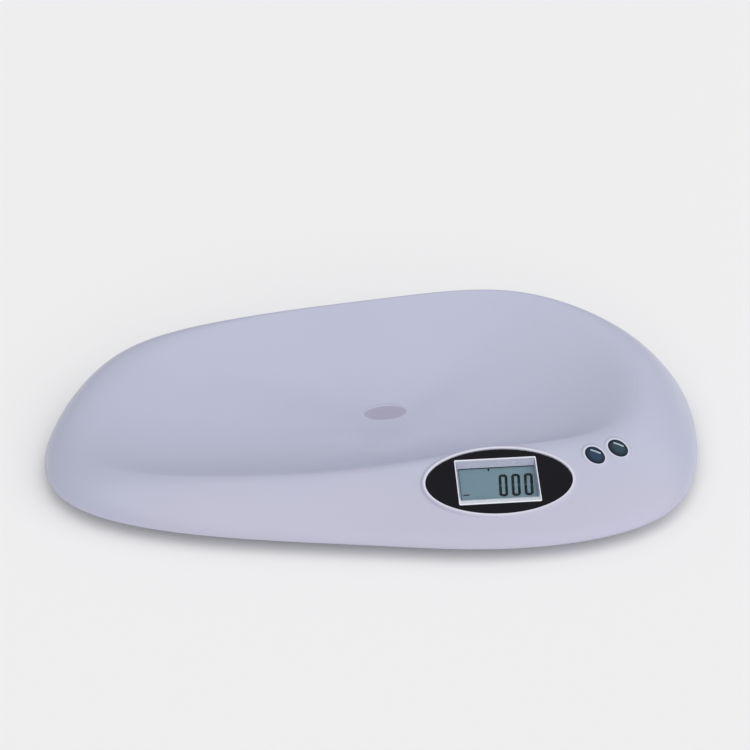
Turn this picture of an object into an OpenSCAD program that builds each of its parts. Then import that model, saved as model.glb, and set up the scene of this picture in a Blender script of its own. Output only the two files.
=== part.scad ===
// Digital baby weighing scale: a free-form moulded tray over a nested base,
// a tilted oval display, two keys, four sensing feet and a 9 V battery bay.
// Millimetres. Origin on the table under the middle of the tray, +Z up,
// +X to the right of someone who faces the display, which looks towards -Y.

/* [Body] */
// Length of the tray from end to end
body_l = 550; // [530:5:575]
// Width of the tray from front to back
body_w = 286; // [276:2:300]
// Height of the crest's control line at the back right, where it is highest
rim_high = 83; // [78:1:90]
// Height of the crest's control line at the front left, where it is lowest
rim_low = 33; // [32:0.5:36]
// Height of the lowest point of the lying surface
pan_z = 24; // [23:0.5:26]
// Height of the tray's lower edge above the table
lip_z = 12; // [11.5:0.5:12.5]
// Wall of the moulded tray
wall = 2.8; // [2.4:0.1:3]
// Softness of the crest between the outside and the lying surface
crest_round = 5; // [3:0.5:7]
// Depth of the rounding along the lower edge
edge_round = 8; // [6:0.5:10]
// Height of the rounding along the lower edge
edge_rise = 6; // [5:0.5:7]

/* [Tray underside] */
// Thickness of the stiffening ribs
rib_t = 1.8; // [1.2:0.1:2.4]
// Height above the table at which the ribs end
rib_z = 14; // [13:0.5:16]
// Spacing of the cross ribs
rib_pitch = 60; // [50:5:70]
// Diameter of the pillars that take the case screws
pillar_d = 8; // [7:0.5:9]
// Distance of the case screws from the tray's edge
pillar_inset = 32; // [30:1:34]

/* [Display] */
// Length of the oval bezel
bezel_l = 118.8; // [114:0.4:122]
// Width of the oval bezel
bezel_w = 61.8; // [60:0.2:63]
// Thickness of the bezel plate
bezel_t = 2.4; // [2:0.1:3]
// Tilt of the display towards the user, in degrees
bezel_tilt = 18; // [17:0.5:19]
// How far the bezel lies below the moulded surface at its middle
bezel_sink = 0.6; // [0.4:0.1:1]
// Width of the raised lip round the bezel
lip_w = 2.4; // [2:0.1:3]
// Height of the raised lip over the bezel
lip_h = 0.8; // [0.4:0.1:1]
// Length of the window frame
window_l = 66.5; // [66:0.5:68]
// Width of the window frame
window_w = 43; // [42:0.5:44]
// Length of the visible part of the display
view_l = 62; // [58:0.5:62.5]
// Width of the visible part of the display
view_w = 30; // [28:0.5:31]
// Depth of the bevel from the bezel to the lens
window_deep = 4.6; // [4:0.1:5]

/* [Keys] */
// Length of each oval key
key_l = 19.2; // [18:0.2:20]
// Width of each oval key
key_w = 14.4; // [13.6:0.2:15]
// Turn of the keys' long axis
key_turn = -40; // [-50:1:-30]
// Distance between the keys
key_pitch = 20.3; // [20:0.1:21.5]
// How far a key stands over the surface
key_proud = 2.1; // [1.6:0.1:2.6]
// How far a key can be pressed
key_travel = 0.8; // [0.5:0.1:0.9]

/* [Base and feet] */
// Height of the base's underside above the table
base_z = 4.5; // [4.2:0.1:4.8]
// Thickness of the base's floor
floor_t = 2.5; // [2.2:0.1:2.7]
// Distance from the tray's edge to the flat underside
base_inset = 22; // [20:1:24]
// Distance from the tray's edge to the middle of each foot
foot_inset = 56; // [55:1:60]
// Diameter of the rubber pads
pad_d = 32; // [28:1:34]
// Thickness of the rubber pads
pad_t = 3.4; // [3:0.1:3.6]
// Diameter of the foot cups
cup_d = 38; // [37:0.5:38.5]
// Side of the square load cells
cell_l = 34; // [32:0.5:34.5]
// Thickness of the load cells
cell_t = 1.4; // [1.2:0.1:1.5]
// Diameter of the foot pockets in the base
pocket_d = 51; // [50.5:0.5:52]

/* [Battery] */
// Length of the 9 V battery without its terminals
battery_l = 46.4; // [45:0.1:47]
// Width of the battery
battery_w = 26.4; // [25.5:0.1:26.6]
// Thickness of the battery
battery_t = 17.4; // [16:0.1:17.6]
// Opening angle of the battery door, in degrees
door_open = 95; // [60:5:95]

/* [Hidden] */
eps = 0.01;
through = 20;         // reach of a cut or post beyond the piece that it meets
slip = 0.3;           // gap between pieces that move past each other
fit = 0.2;            // gap round a piece that is dropped into its seat
pin_play = 0.05;      // radial play of a pin or screw in its hole

// Twelve control knots run round the tray, from the right end over the back.
// Edge: shares of half the length and half the width.
edge_knots = [
    [1.01, -0.04], [1.00, 0.61], [0.52, 0.99], [0.06, 1.01],
    [-0.42, 0.98], [-0.85, 1.02], [-1.05, 0.07], [-0.94, -0.51],
    [-0.51, -0.78], [-0.02, -0.91], [0.37, -1.05], [0.90, -0.88]];
// Crest: the same shares, then the height from rim_low (0) to rim_high (1).
crest_knots = [
    [0.86, 0.12, 0.60], [0.79, 0.58, 0.74], [0.49, 0.95, 1.00], [0.07, 0.89, 0.86],
    [-0.39, 0.92, 0.60], [-0.80, 0.76, 0.34], [-0.94, 0.19, 0.10], [-0.86, -0.44, 0.00],
    [-0.47, -0.42, 0.08], [-0.05, -0.50, 0.20], [0.36, -0.40, 0.34], [0.72, -0.36, 0.40]];
// Section: straightness of the outer flank, then the power of the inner curve.
section_knots = [
    [0.50, 3.0], [0.40, 2.4], [0.30, 2.0], [0.30, 2.0],
    [0.30, 2.0], [0.30, 2.0], [0.35, 2.0], [0.60, 2.0],
    [0.80, 2.0], [0.85, 2.0], [0.85, 2.2], [0.70, 2.6]];
knots = len(edge_knots);
low_point = [11, 8];   // where the lying surface is lowest
per_knot = 8;          // facets of the outline between two knots
turns = knots * per_knot;
flank_rings = 9;
pan_rings = 10;
slope_power = 2.5;     // fullness of the outer flank near the edge

// Point of a closed uniform cubic spline.
function knot(p, t, k) = p[(floor(t) + k + len(p)) % len(p)];
function blend_out(f) = 3 * f * f * f - 6 * f * f + 4;
function spline(p, t) =
    let (f = t - floor(t), g = 1 - f)
    (g * g * g * knot(p, t, -1) + blend_out(f) * knot(p, t, 0)
     + blend_out(g) * knot(p, t, 1) + f * f * f * knot(p, t, 2)) / 6;

// Outline of the tray in plan, and the same line moved inwards by d.
function edge_at(t) =
    let (p = spline(edge_knots, t)) [p.x * body_l / 2, p.y * body_w / 2];
function edge_in(t, d) =
    let (v = edge_at(t + 0.01) - edge_at(t - 0.01)) edge_at(t) - d * [v.y, -v.x] / norm(v);
function crest_at(t) =
    let (p = spline(crest_knots, t))
    [p.x * body_l / 2, p.y * body_w / 2, rim_low + p.z * (rim_high - rim_low)];
function flat(p) = [p.x, p.y];

// Section at t: edge, crest, section values, lowest point, rounding depth and rise.
function section_out(t) =
    [edge_at(t), crest_at(t), spline(section_knots, t),
     [low_point.x, low_point.y, pan_z], edge_round, edge_rise];

// The same section one wall further in: both sides of the crest move by the wall.
function section_in(t) =
    let (w = section_out(t), k = w[1], o = w[3],
         run_out = norm(flat(k) - w[0]),
         run_in = norm(flat(o) - flat(k)),
         slope_out = w[2][0] * (k.z - lip_z - edge_rise) / run_out,
         slope_in = w[2][1] * (k.z - o.z) / run_in,
         len_out = norm([1, slope_out]),
         len_in = norm([1, slope_in]),
         shift = wall * (len_out - len_in) / (slope_out + slope_in),
         way = (flat(o) - flat(k)) / run_in)
    [edge_in(t, wall),
     [k.x + way.x * shift, k.y + way.y * shift, k.z - slope_in * shift - wall * len_in],
     w[2], [o.x, o.y, o.z - wall], edge_round - wall, edge_rise - wall];

// Point of a section: s is -1 at the edge, 0 on the crest and 1 at the lowest point.
function skin(w, s) =
    let (e = w[0], k = w[1], o = w[3],
         run_out = norm(flat(k) - e),
         run_in = norm(flat(o) - flat(k)),
         u = s <= 0 ? s + 1 : 1 + s * run_in / run_out,
         r = s >= 0 ? 1 - s : 1 - s * run_out / run_in,
         at = s <= 0 ? e + (flat(k) - e) * u : flat(k) + (flat(o) - flat(k)) * s,
         near = 1 - min(u * run_out / w[4], 1),
         full = w[2][0] * u + (1 - w[2][0]) * (u < 1 ? 1 - pow(1 - u, slope_power) : 1),
         z_out = lip_z + w[5] * sqrt(1 - near * near) + (k.z - lip_z - w[5]) * full,
         z_in = o.z + (k.z - o.z) * pow(r, w[2][1]))
    [at.x, at.y, (z_out + z_in - norm([z_out - z_in, crest_round])) / 2];
function surface_at(t, s) = skin(section_out(t), s);

// Rings crowd towards the edge and the crest, where the form turns fastest.
ring_steps = [
    for (i = [1:flank_rings]) -(1 + cos(180 * i / flank_rings)) / 2,
    for (i = [1:pan_rings - 1]) 1 - cos(90 * i / pan_rings)];

// Rotation that stands +Z on a surface tilted to the front and leaning to the right.
module stand(at, tilt, lean = 0) translate(at) rotate([tilt, lean, 0]) children();
function stood(at, tilt, p) =
    at + [p.x, p.y * cos(tilt) - p.z * sin(tilt), p.y * sin(tilt) + p.z * cos(tilt)];

// Field of ribs under the lying surface: its middle, its sides and the step between rows
rib_field = [0, 22];
rib_field_l = body_l - 260;
rib_field_w = body_w - 156;
rib_row = rib_field_w * 0.29;
rib_tall = rim_high - rib_z;   // the ribs end in the wall above them

// Display: places on the tray are a knot value and a section value.
bezel_on = surface_at(9.93, -0.36);
bezel_at = bezel_on - [0, 0, bezel_sink];
ledge = 2;             // width of the ledge that the bezel rests on
skirt_t = 1.2;
skirt_h = 4.6;
collar_h = 6;
bezel_bevel = 0.8;
window_x = -1.1;       // the window's place from the bezel's middle
window_y = 0.5;
view_x = 0.5;          // the visible part's place from the window's middle
view_y = 0.9;
window_edge = 0.8;     // flat rim of the window frame before the bevel
frame_t = window_deep + 1;
lens_t = 1;
lcd_t = 2;
lens_over = 0.8;       // how far lens and glass reach past the visible part
lens_l = view_l + 2 * lens_over;
lens_w = view_w + 2 * lens_over;
carrier_rim = 3;
lcd_z = -frame_t - slip - lcd_t;
zebra_h = 4.5;
zebra_w = 2.5;
zebra_y = view_w / 2 - 1;
board_z = lcd_z - zebra_h;
board_t = 1.6;
board_l = 112;
board_w = 54;
board_hole_x = 51;
board_hole_y = 22.5;
chips = [[6, 6, 12, 12, 1.6], [26, -6, 9, 5, 1.5], [-14, -8, 6, 5, 1.5]];   // x, y, sides, height
cans = [[24, 12, 5, 5.4], [36, 8, 5, 5.4]];                                // x, y, diameter, height
post_d = 6;
screw_d = 2.5;
head_d = 4.6;
head_t = 1.6;
post_bite = 5;         // length of a small screw inside its post

// Keys
keys_on = (surface_at(10.69, -0.28) + surface_at(10.91, -0.29)) / 2;
keys_tilt = 18.2;
keys_lean = 3.9;
keys_row = 15;         // turn of the line through both keys
key_guide_w = 1.6;
key_guide_z = -4.3;
key_rim_h = 0.5;
key_soft = 0.7;        // rounding of a key's edge
key_dome = 1;          // height of its crown over that edge
key_flange = 1.4;
flange_t = 1.2;
key_stem_d = 6;
key_stem_h = 2.4;
plunger_d = 3.5;
plunger_h = 3;
switch_l = 6.2;
switch_h = 3.6;
key_board_t = 1.2;
key_board_l = 50;
key_board_w = 30;
key_post_x = 19;
key_post_y = 11;
flange_z = key_guide_z - slip - flange_t;
plunger_z = flange_z - key_stem_h - plunger_h;
key_board_z = plunger_z - key_travel - 1;

// Mark in the middle of the tray
mark_l = 37;
mark_w = 20;
mark_t = 0.8;
mark_on = surface_at(3.03, 0.84);
mark_tilt = 7.8;
mark_lean = -0.7;

// Base
base_floor = base_z + floor_t;
base_skin = 2.2;
tongue_inset = wall + 1.6;   // the base's upstand sits inside the tray's lip
tongue_top = lip_z + 1.4;
base_corner = 1.2;
floor_rib_pitch = 70;
floor_rib_t = 2;
floor_rib_h = 1.2;
floor_rib_l = body_w - 2 * (base_inset + 40);
pillar_at = [for (t = [0.6, 2.4, 3.8, 5.5, 6.3, 7.9, 9.1, 11.4]) edge_in(t, pillar_inset)];
boss_d = 10;
boss_z = base_z + 6.5;
case_screw_d = 3;
case_head_d = 5.8;
case_head_t = 1.9;
case_sink = 2.4;
case_bite = 8;

// Feet: knot value, then the direction in which the cell's lead leaves
feet = [[7.5, 0], [10.6, 90], [1.4, 180], [4.7, 0]];
foot_names = ["front_left", "front_right", "rear_right", "rear_left"];
foot_at = [for (f = feet) edge_in(f[0], foot_inset)];
pad_seat = 0.8;
pad_soft = 0.8;        // rounding of a pad's lower edge
pad_hollow = 0.8;      // depth of the hollow in its middle
cup_z = pad_t - pad_seat;
cup_t = 3;
cell_z = 8.3;
stud_d = 10;
pocket_wall = 2.5;
pocket_roof = 2.5;
relief_d = 20;
relief_h = 1;
ring_t = 2.8;
ring_id = cup_d + 2;
ring_screw_r = 22;
ring_screw_d = 2.2;
ring_lug_d = 4.4;
tongue_w = 12;
cell_window = 24;

// Leads
lead_r = 0.65;
lead_z = cell_z + 0.7;
lead_sides = 6;
lead_run = 18;         // straight end of a lead before its plug
bend_r = 8;
bend_steps = 4;
plug_l = 6;
plug_w = 7;
plug_h = 6;
plug_y = [-16, -8, 0, 8, 16];
plug_x = -board_l / 2;
plug_at = [for (y = plug_y) stood(bezel_at, bezel_tilt,
    [window_x + plug_x, y, board_z - board_t - plug_h / 2])];

// Battery bay
bay_inset = 54;        // distance of its middle from the tray's edge
bay_on = 8.45;         // its knot value
bay_at = edge_in(bay_on, bay_inset);
bay_l = 54;
bay_w = 28.4;
bay_wall = 1.8;
bay_slip = 0.3;
door_t = 2;
door_margin = 2;
door_gap = 0.4;
grip_l = 18;           // grooves on the door for the fingertip
grip_w = 1;
grip_deep = 0.6;
grip_count = 4;
grip_pitch = 2.2;
dish_r = 14;           // ball that cuts the fingertip dish beside the latch
dish_deep = 1.4;
bay_rim = 6;           // width of the thick floor round the door
latch_w = 14;
latch_l = 2.6;
latch_t = 1;
hinge_r = 1.8;
hinge_pin_r = 1.2;
hinge_pin_l = 2.6;
hinge_z = base_z + hinge_r;
hinge_y = bay_at.y + bay_w / 2 + 4;
door_l = bay_l + 2 * door_margin;
door_front = bay_at.y - bay_w / 2 - 3;
bay_pad_z = base_z + door_t + slip + 2;
battery_z = base_z + door_t + slip;
bay_top = battery_z + battery_t + bay_slip;
terminal_h = 2.1;
terminal_d = [8, 5.8];
terminal_pitch = 12.7;
lead_slot_w = 10;
lead_slot_h = 3;
lead_slot_z = battery_z + 6;
bay_lead_out = 14;     // where the battery's leads leave its wall and turn
snap_t = 4.6;
snap_w = 12.6;
battery_x = bay_at.x - bay_l / 2 + slip;   // end of the battery away from its snap
snap_x = battery_x + battery_l + fit;

function oval_points(a, b, n) = [for (i = [0:n - 1]) [a * cos(360 * i / n), b * sin(360 * i / n)]];
function lift(ring, z) = [for (p = ring) [p.x, p.y, z]];

// Upright prism on an oval, given by its half axes.
module oval(a, b, h, n = 48) linear_extrude(h) polygon(oval_points(a, b, n));

// Rectangular plate with round corners, centred in plan, standing on z = 0.
module plate(l, w, h, r = 1) linear_extrude(h) round_rect(l, w, r);
module round_rect(l, w, r) polygon([
    for (c = [[1, 1, 0], [-1, 1, 90], [-1, -1, 180], [1, -1, 270]], a = [0:30:90])
        [c.x * (l / 2 - r) + r * cos(c.z + a), c.y * (w / 2 - r) + r * sin(c.z + a)]]);

// Closed skin through rings of equal length, listed upwards and turning left,
// closed flat below and by a single point or flat above.
module loft(rings, apex = []) {
    n = len(rings[0]);
    m = len(rings);
    points = [for (r = rings) each r, each apex];
    top = len(apex) > 0
        ? [for (i = [0:n - 1]) [(m - 1) * n + i, m * n, (m - 1) * n + (i + 1) % n]]
        : [[for (i = [n - 1:-1:0]) (m - 1) * n + i]];
    sides = [for (j = [0:m - 2], i = [0:n - 1])
        let (a = j * n + i, b = j * n + (i + 1) % n)
        each [[a, a + n, b + n], [a, b + n, b]]];
    polyhedron(points, [[for (i = [0:n - 1]) i], each sides, each top]);
}

// Round lead through corner points: each corner becomes an arc.
function unit(v) = v / norm(v);
function bend(a, b, c) =
    let (u = unit(a - b), v = unit(c - b),
         back = min(bend_r, norm(a - b) * 0.45, norm(c - b) * 0.45))
    norm(u + v) < 0.05 ? [b]
    : [for (i = [0:bend_steps]) let (f = i / bend_steps)
        b + back * (u * (1 - f) * (1 - f) + v * f * f)];
function route(p) = [p[0],
    for (i = [1:len(p) - 2]) each bend(p[i - 1], p[i], p[i + 1]),
    p[len(p) - 1]];
function tube_ring(at, dir, r, n) =
    let (side = unit(cross(abs(dir.z) > 0.8 ? [1, 0, 0] : [0, 0, 1], dir)), up = cross(dir, side))
    [for (i = [0:n - 1]) at + r * (side * cos(360 * i / n) + up * sin(360 * i / n))];
module lead(p, r = lead_r) {
    path = route(p);
    last = len(path) - 1;
    loft([for (i = [0:last])
        tube_ring(path[i], unit(path[min(i + 1, last)] - path[max(i - 1, 0)]), r, lead_sides)]);
}

// ---- Tray -------------------------------------------------------------

// Solid under the tray's top surface, flat at the height of its lower edge.
module tray_form() {
    sections = [for (i = [0:turns - 1]) section_out(i / per_knot)];
    edge = [for (w = sections) w[0]];
    loft([lift(edge, lip_z), for (s = ring_steps) [for (w = sections) skin(w, s)]],
        [skin(sections[0], 1)]);
}

// Space under the tray's wall, running out below the lower edge.
module tray_core() {
    sections = [for (i = [0:turns - 1]) section_in(i / per_knot)];
    edge = [for (w = sections) w[0]];
    loft([lift(edge, lip_z - 2), for (s = ring_steps) [for (w = sections) skin(w, s)]],
        [skin(sections[0], 1)]);
}

module on_display(p = [0, 0, 0]) stand(bezel_at, bezel_tilt) translate(p) children();
module on_keys(p = [0, 0, 0]) stand(keys_on, keys_tilt, keys_lean) translate(p) children();
module at_key(side) on_keys() rotate(keys_row) translate([side * key_pitch / 2, 0])
    rotate(key_turn - keys_row) children();
module at_board_holes() on_display([window_x, 0, 0])
    for (x = [-1, 1], y = [-1, 1]) translate([x * board_hole_x, y * board_hole_y]) children();
module at_key_board_holes() on_keys()
    for (k = [-1, 1]) translate([k * key_post_x, -k * key_post_y]) children();
module on_mark() stand(mark_on, mark_tilt, mark_lean) children();

module bezel_collar() on_display([0, 0, -collar_h])
    oval(bezel_l / 2 + fit + lip_w, bezel_w / 2 + fit + lip_w, collar_h + lip_h, 64);

module bezel_seat() on_display() {
    translate([0, 0, -bezel_t]) oval(bezel_l / 2 + fit, bezel_w / 2 + fit, through, 64);
    translate([0, 0, -through]) oval(bezel_l / 2 - ledge, bezel_w / 2 - ledge, 2 * through, 64);
}

module key_guides() for (side = [-1, 1]) at_key(side) translate([0, 0, key_guide_z])
    oval(key_l / 2 + slip + key_guide_w, key_w / 2 + slip + key_guide_w, key_rim_h - key_guide_z, 32);

module key_holes() for (side = [-1, 1]) at_key(side) translate([0, 0, -through])
    oval(key_l / 2 + slip, key_w / 2 + slip, 2 * through, 32);

module tray_ribs() translate([rib_field.x - rib_t / 2, rib_field.y - rib_t / 2, rib_z]) {
    for (i = [-2:1:2]) translate([i * rib_pitch, -rib_field_w / 2]) cube([rib_t, rib_field_w, rib_tall]);
    for (i = [-1, 0, 1]) translate([-rib_field_l / 2, i * rib_row]) cube([rib_field_l, rib_t, rib_tall]);
}

module tray_pillars() {
    for (p = pillar_at) translate([p.x, p.y, boss_z]) cylinder(h = rim_high, d = pillar_d, $fn = 32);
    at_board_holes() translate([0, 0, board_z]) cylinder(h = 2 * through, d = post_d, $fn = 24);
    at_key_board_holes() translate([0, 0, key_board_z]) cylinder(h = 2 * through, d = post_d, $fn = 24);
}

module tray_screw_holes() {
    for (p = pillar_at) translate([p.x, p.y, boss_z - 1])
        cylinder(h = case_bite + 1.5, d = case_screw_d + 2 * pin_play, $fn = 24);
    at_board_holes() translate([0, 0, board_z - 1])
        cylinder(h = post_bite + 1.5, d = screw_d + 2 * pin_play, $fn = 24);
    at_key_board_holes() translate([0, 0, key_board_z - 1])
        cylinder(h = post_bite + 1.5, d = screw_d + 2 * pin_play, $fn = 24);
}

module tray_shell() color("#c4c3d6") difference() {
    union() {
        difference() {
            tray_form();
            difference() {
                tray_core();
                tray_ribs();
                tray_pillars();
            }
        }
        bezel_collar();
        key_guides();
    }
    bezel_seat();
    key_holes();
    tray_screw_holes();
    on_mark() translate([0, 0, -mark_t]) oval(mark_l / 2 + fit, mark_w / 2 + fit, through);
}

module tray_mark() color("#a9a3b4") on_mark() translate([0, 0, -mark_t])
    oval(mark_l / 2, mark_w / 2, mark_t);

// ---- Display ----------------------------------------------------------

module on_window(z) on_display([window_x, window_y, z]) children();
module on_view(z) on_window(z) translate([view_x, view_y, 0]) children();
module window_hole(h) translate([window_x, window_y, 0])
    plate(window_l + 2 * fit, window_w + 2 * fit, h);

module display_bezel() color("#1a1a1e") on_display() difference() {
    union() {
        loft([lift(oval_points(bezel_l / 2, bezel_w / 2, 64), -bezel_t),
              lift(oval_points(bezel_l / 2, bezel_w / 2, 64), -bezel_bevel),
              lift(oval_points(bezel_l / 2 - bezel_bevel, bezel_w / 2 - bezel_bevel, 64), 0)]);
        translate([0, 0, -bezel_t - skirt_h])
            oval(bezel_l / 2 - ledge - slip, bezel_w / 2 - ledge - slip, skirt_h + eps, 64);
    }
    translate([0, 0, -bezel_t - skirt_h - 1])
        oval(bezel_l / 2 - ledge - slip - skirt_t, bezel_w / 2 - ledge - slip - skirt_t,
             skirt_h + 1, 64);
    translate([0, 0, -through]) window_hole(2 * through);
}

module window_frame() color("#dcdce6") on_window(0) difference() {
    union() {
        translate([0, 0, -frame_t]) plate(window_l, window_w, frame_t + 0.2);
        translate([0, 0, -bezel_t - 1.4]) plate(window_l + 6, window_w - 12, 1.4);
    }
    loft([lift(corners(view_l, view_w, view_x, view_y), -window_deep - eps),
          lift(corners(window_l - 2 * window_edge, window_w - 2 * window_edge, 0, 0), 0.2 + eps)]);
    translate([view_x, view_y, -frame_t - 1]) plate(lens_l + fit, lens_w + fit, lens_t + 1);
}
function corners(l, w, x, y) =
    [for (c = [[-1, -1], [1, -1], [1, 1], [-1, 1]]) [x + c.x * l / 2, y + c.y * w / 2]];

module window_lens() color([0.8, 0.9, 0.95, 0.4]) on_view(-frame_t) plate(lens_l, lens_w, lens_t);

module lcd_glass() color("#7d979c") on_view(lcd_z) plate(lens_l, lens_w, lcd_t, 0.6);

module lcd_carrier() color("#e6e6ea") on_window(board_z) translate([0, view_y, 0]) difference() {
    plate(window_l, lens_w + 2 * carrier_rim, zebra_h + lcd_t);
    translate([view_x, 0, zebra_h]) plate(lens_l + fit, lens_w + fit, lcd_t + 1, 0.6);
    for (k = [-1, 1]) translate([0, k * zebra_y, -1])
        plate(view_l + fit, zebra_w + fit, zebra_h + 2, 0.4);
    translate([0, 0, -1]) plate(view_l - 4, view_w - 12, zebra_h + 2);
}

module zebra_strips() color("#4a4a52") on_window(board_z) translate([0, view_y, 0])
    for (k = [-1, 1]) translate([0, k * zebra_y, 0]) plate(view_l, zebra_w, zebra_h, 0.4);

module main_board() color("#2f6b45") difference() {
    on_display([window_x, 0, board_z - board_t]) plate(board_l, board_w, board_t, 2);
    at_board_holes() translate([0, 0, board_z - board_t - 1])
        cylinder(h = board_t + 2, d = screw_d + 4 * pin_play, $fn = 24);
}

module board_chips() color("#26262a") on_display([window_x, 0, board_z - board_t]) {
    for (c = chips) translate([c[0], c[1], -c[4]]) plate(c[2], c[3], c[4], 0.3);
    for (c = cans) translate([c[0], c[1], -c[3]]) cylinder(h = c[3], d = c[2], $fn = 24);
}

module board_plugs() color("#e9e6da") for (p = plug_at) translate(p) rotate([bezel_tilt, 0, 0])
    translate([plug_l / 2, 0, -plug_h / 2]) plate(plug_l, plug_w, plug_h, 0.4);

// Small screw with its head below z = 0 and its shank above.
module small_screw(shank, d = screw_d, head = head_d, tall = head_t) {
    cylinder(h = shank, d = d, $fn = 24);
    difference() {
        translate([0, 0, -tall]) cylinder(h = tall, d = head, $fn = 24);
        for (a = [0, 90]) rotate(a) translate([-head * 0.35, -0.3, -tall - 1]) cube([head * 0.7, 0.6, 1.6]);
    }
}

module board_screws() color("#b8bac0") at_board_holes() translate([0, 0, board_z - board_t])
    small_screw(board_t + post_bite);

// ---- Keys -------------------------------------------------------------

// Key cap: straight sides up to a rounded edge, then a low crown.
key_side = key_proud - key_dome - key_soft;
key_edge = key_soft * (1 - cos(60));
key_crown = key_dome + key_soft * (1 - sin(60));
function key_ring(inset, z, k = 1) =
    lift(oval_points((key_l / 2 - inset) * k, (key_w / 2 - inset) * k, 32), z);

module key(side) color("#3b5260") at_key(side) {
    loft([key_ring(0, flange_z + flange_t),
          for (a = [0:20:60]) key_ring(key_soft * (1 - cos(a)), key_side + key_soft * sin(a)),
          for (k = [0.9, 0.75, 0.55, 0.3]) key_ring(key_edge, key_proud - key_crown * pow(k, 2.2), k)],
         [[0, 0, key_proud]]);
    translate([0, 0, flange_z])
        oval(key_l / 2 + key_flange, key_w / 2 + key_flange, flange_t, 32);
    translate([0, 0, flange_z - key_stem_h]) cylinder(h = key_stem_h, d = key_stem_d, $fn = 24);
}
module key_left() key(-1);
module key_right() key(1);

module switch_plunger(side) color("#e8e4d8") at_key(side) translate([0, 0, plunger_z])
    cylinder(h = plunger_h, d = plunger_d, $fn = 24);
module switch_plunger_left() switch_plunger(-1);
module switch_plunger_right() switch_plunger(1);

module switch_bodies() color("#2a2a2e") for (side = [-1, 1]) at_key(side)
    translate([0, 0, key_board_z]) difference() {
        plate(switch_l, switch_l, switch_h, 0.5);
        translate([0, 0, 0.6]) cylinder(h = switch_h, d = plunger_d + 4 * pin_play, $fn = 24);
    }

module key_board() color("#2f6b45") difference() {
    on_keys([0, 0, key_board_z - key_board_t]) plate(key_board_l, key_board_w, key_board_t, 2);
    at_key_board_holes() translate([0, 0, key_board_z - key_board_t - 1])
        cylinder(h = key_board_t + 2, d = screw_d + 4 * pin_play, $fn = 24);
}

module key_board_screws() color("#b8bac0") at_key_board_holes()
    translate([0, 0, key_board_z - key_board_t]) small_screw(key_board_t + post_bite);

// ---- Base -------------------------------------------------------------

function base_ring(d, z) = [for (i = [0:turns - 1]) let (p = edge_in(i / per_knot, d)) [p.x, p.y, z]];

module base_dish() difference() {
    loft([base_ring(base_inset, base_z),
          base_ring(base_inset - 2 * base_corner, base_z + base_corner),
          base_ring(tongue_inset, lip_z - 1),
          base_ring(tongue_inset, tongue_top)]);
    loft([base_ring(base_inset + 1.5, base_floor),
          base_ring(tongue_inset + base_skin, lip_z + 1),
          base_ring(tongue_inset + base_skin, tongue_top + 2)]);
}

module at_feet() for (i = [0:3]) at_foot(i) children();
module at_foot(i) translate([foot_at[i].x, foot_at[i].y]) rotate(feet[i][1]) children();

module foot_pocket_body() translate([0, 0, base_z])
    cylinder(h = cell_z + cell_t + pocket_roof - base_z, d = pocket_d + 2 * pocket_wall, $fn = 64);

module foot_pocket_cuts() {
    translate([0, 0, base_z - 1]) cylinder(h = cell_z + cell_t - base_z + 1, d = pocket_d, $fn = 64);
    translate([0, 0, base_z]) cylinder(h = cell_z + cell_t - base_z + relief_h, d = relief_d, $fn = 48);
    for (k = [-1, 1]) translate([0, k * ring_screw_r, cell_z])
        cylinder(h = through / 2, d = ring_screw_d + 2 * pin_play, $fn = 24);
    translate([cell_l / 2, 0, lead_z]) rotate([0, 90, 0]) cylinder(h = through, r = lead_r + fit, $fn = 24);
}

module floor_ribs() for (i = [-1, 0, 1])
    translate([i * floor_rib_pitch - floor_rib_t / 2, -floor_rib_l / 2, base_floor - eps])
    cube([floor_rib_t, floor_rib_l, floor_rib_h]);

module bay_body() {
    translate([bay_at.x - door_l / 2 - bay_rim, door_front - bay_rim, base_z])
        cube([door_l + 2 * bay_rim, hinge_y + 2 - door_front + bay_rim, bay_pad_z - base_z]);
    translate([bay_at.x - bay_l / 2 - bay_wall, bay_at.y - bay_w / 2 - bay_wall, base_z])
        cube([bay_l + 2 * bay_wall, bay_w + 2 * bay_wall, bay_top + bay_wall - base_z]);
}

module bay_cuts() {
    translate([bay_at.x - bay_l / 2, bay_at.y - bay_w / 2, base_z - 1])
        cube([bay_l, bay_w, bay_top - base_z + 1]);
    translate([bay_at.x - door_l / 2 - door_gap, door_front - door_gap, base_z - 1])
        cube([door_l + 2 * door_gap, hinge_y + hinge_r + door_gap - door_front + door_gap,
              door_t + slip + 1]);
    translate([bay_at.x - door_l / 2 - door_gap, hinge_y - hinge_r - door_gap, base_z - 1])
        cube([door_l + 2 * door_gap, 2 * (hinge_r + door_gap), 2 * hinge_r + door_gap + 1]);
    translate([bay_at.x, hinge_y, hinge_z]) rotate([0, 90, 0])
        cylinder(h = door_l + 2 * (hinge_pin_l + door_gap), r = hinge_pin_r + pin_play,
                 center = true, $fn = 32);
    translate([bay_at.x + bay_l / 2 - 1, bay_at.y - lead_slot_w / 2, lead_slot_z])
        cube([bay_wall + 2, lead_slot_w, lead_slot_h]);
    translate([bay_at.x - latch_w / 2 - 1, door_front - latch_l - door_gap, base_z - 1])
        cube([latch_w + 2, latch_l + 1, latch_t + slip + 1]);
    translate([bay_at.x, door_front - latch_l - door_gap - 2, base_z + dish_deep - dish_r])
        sphere(r = dish_r, $fn = 64);
}

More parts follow.
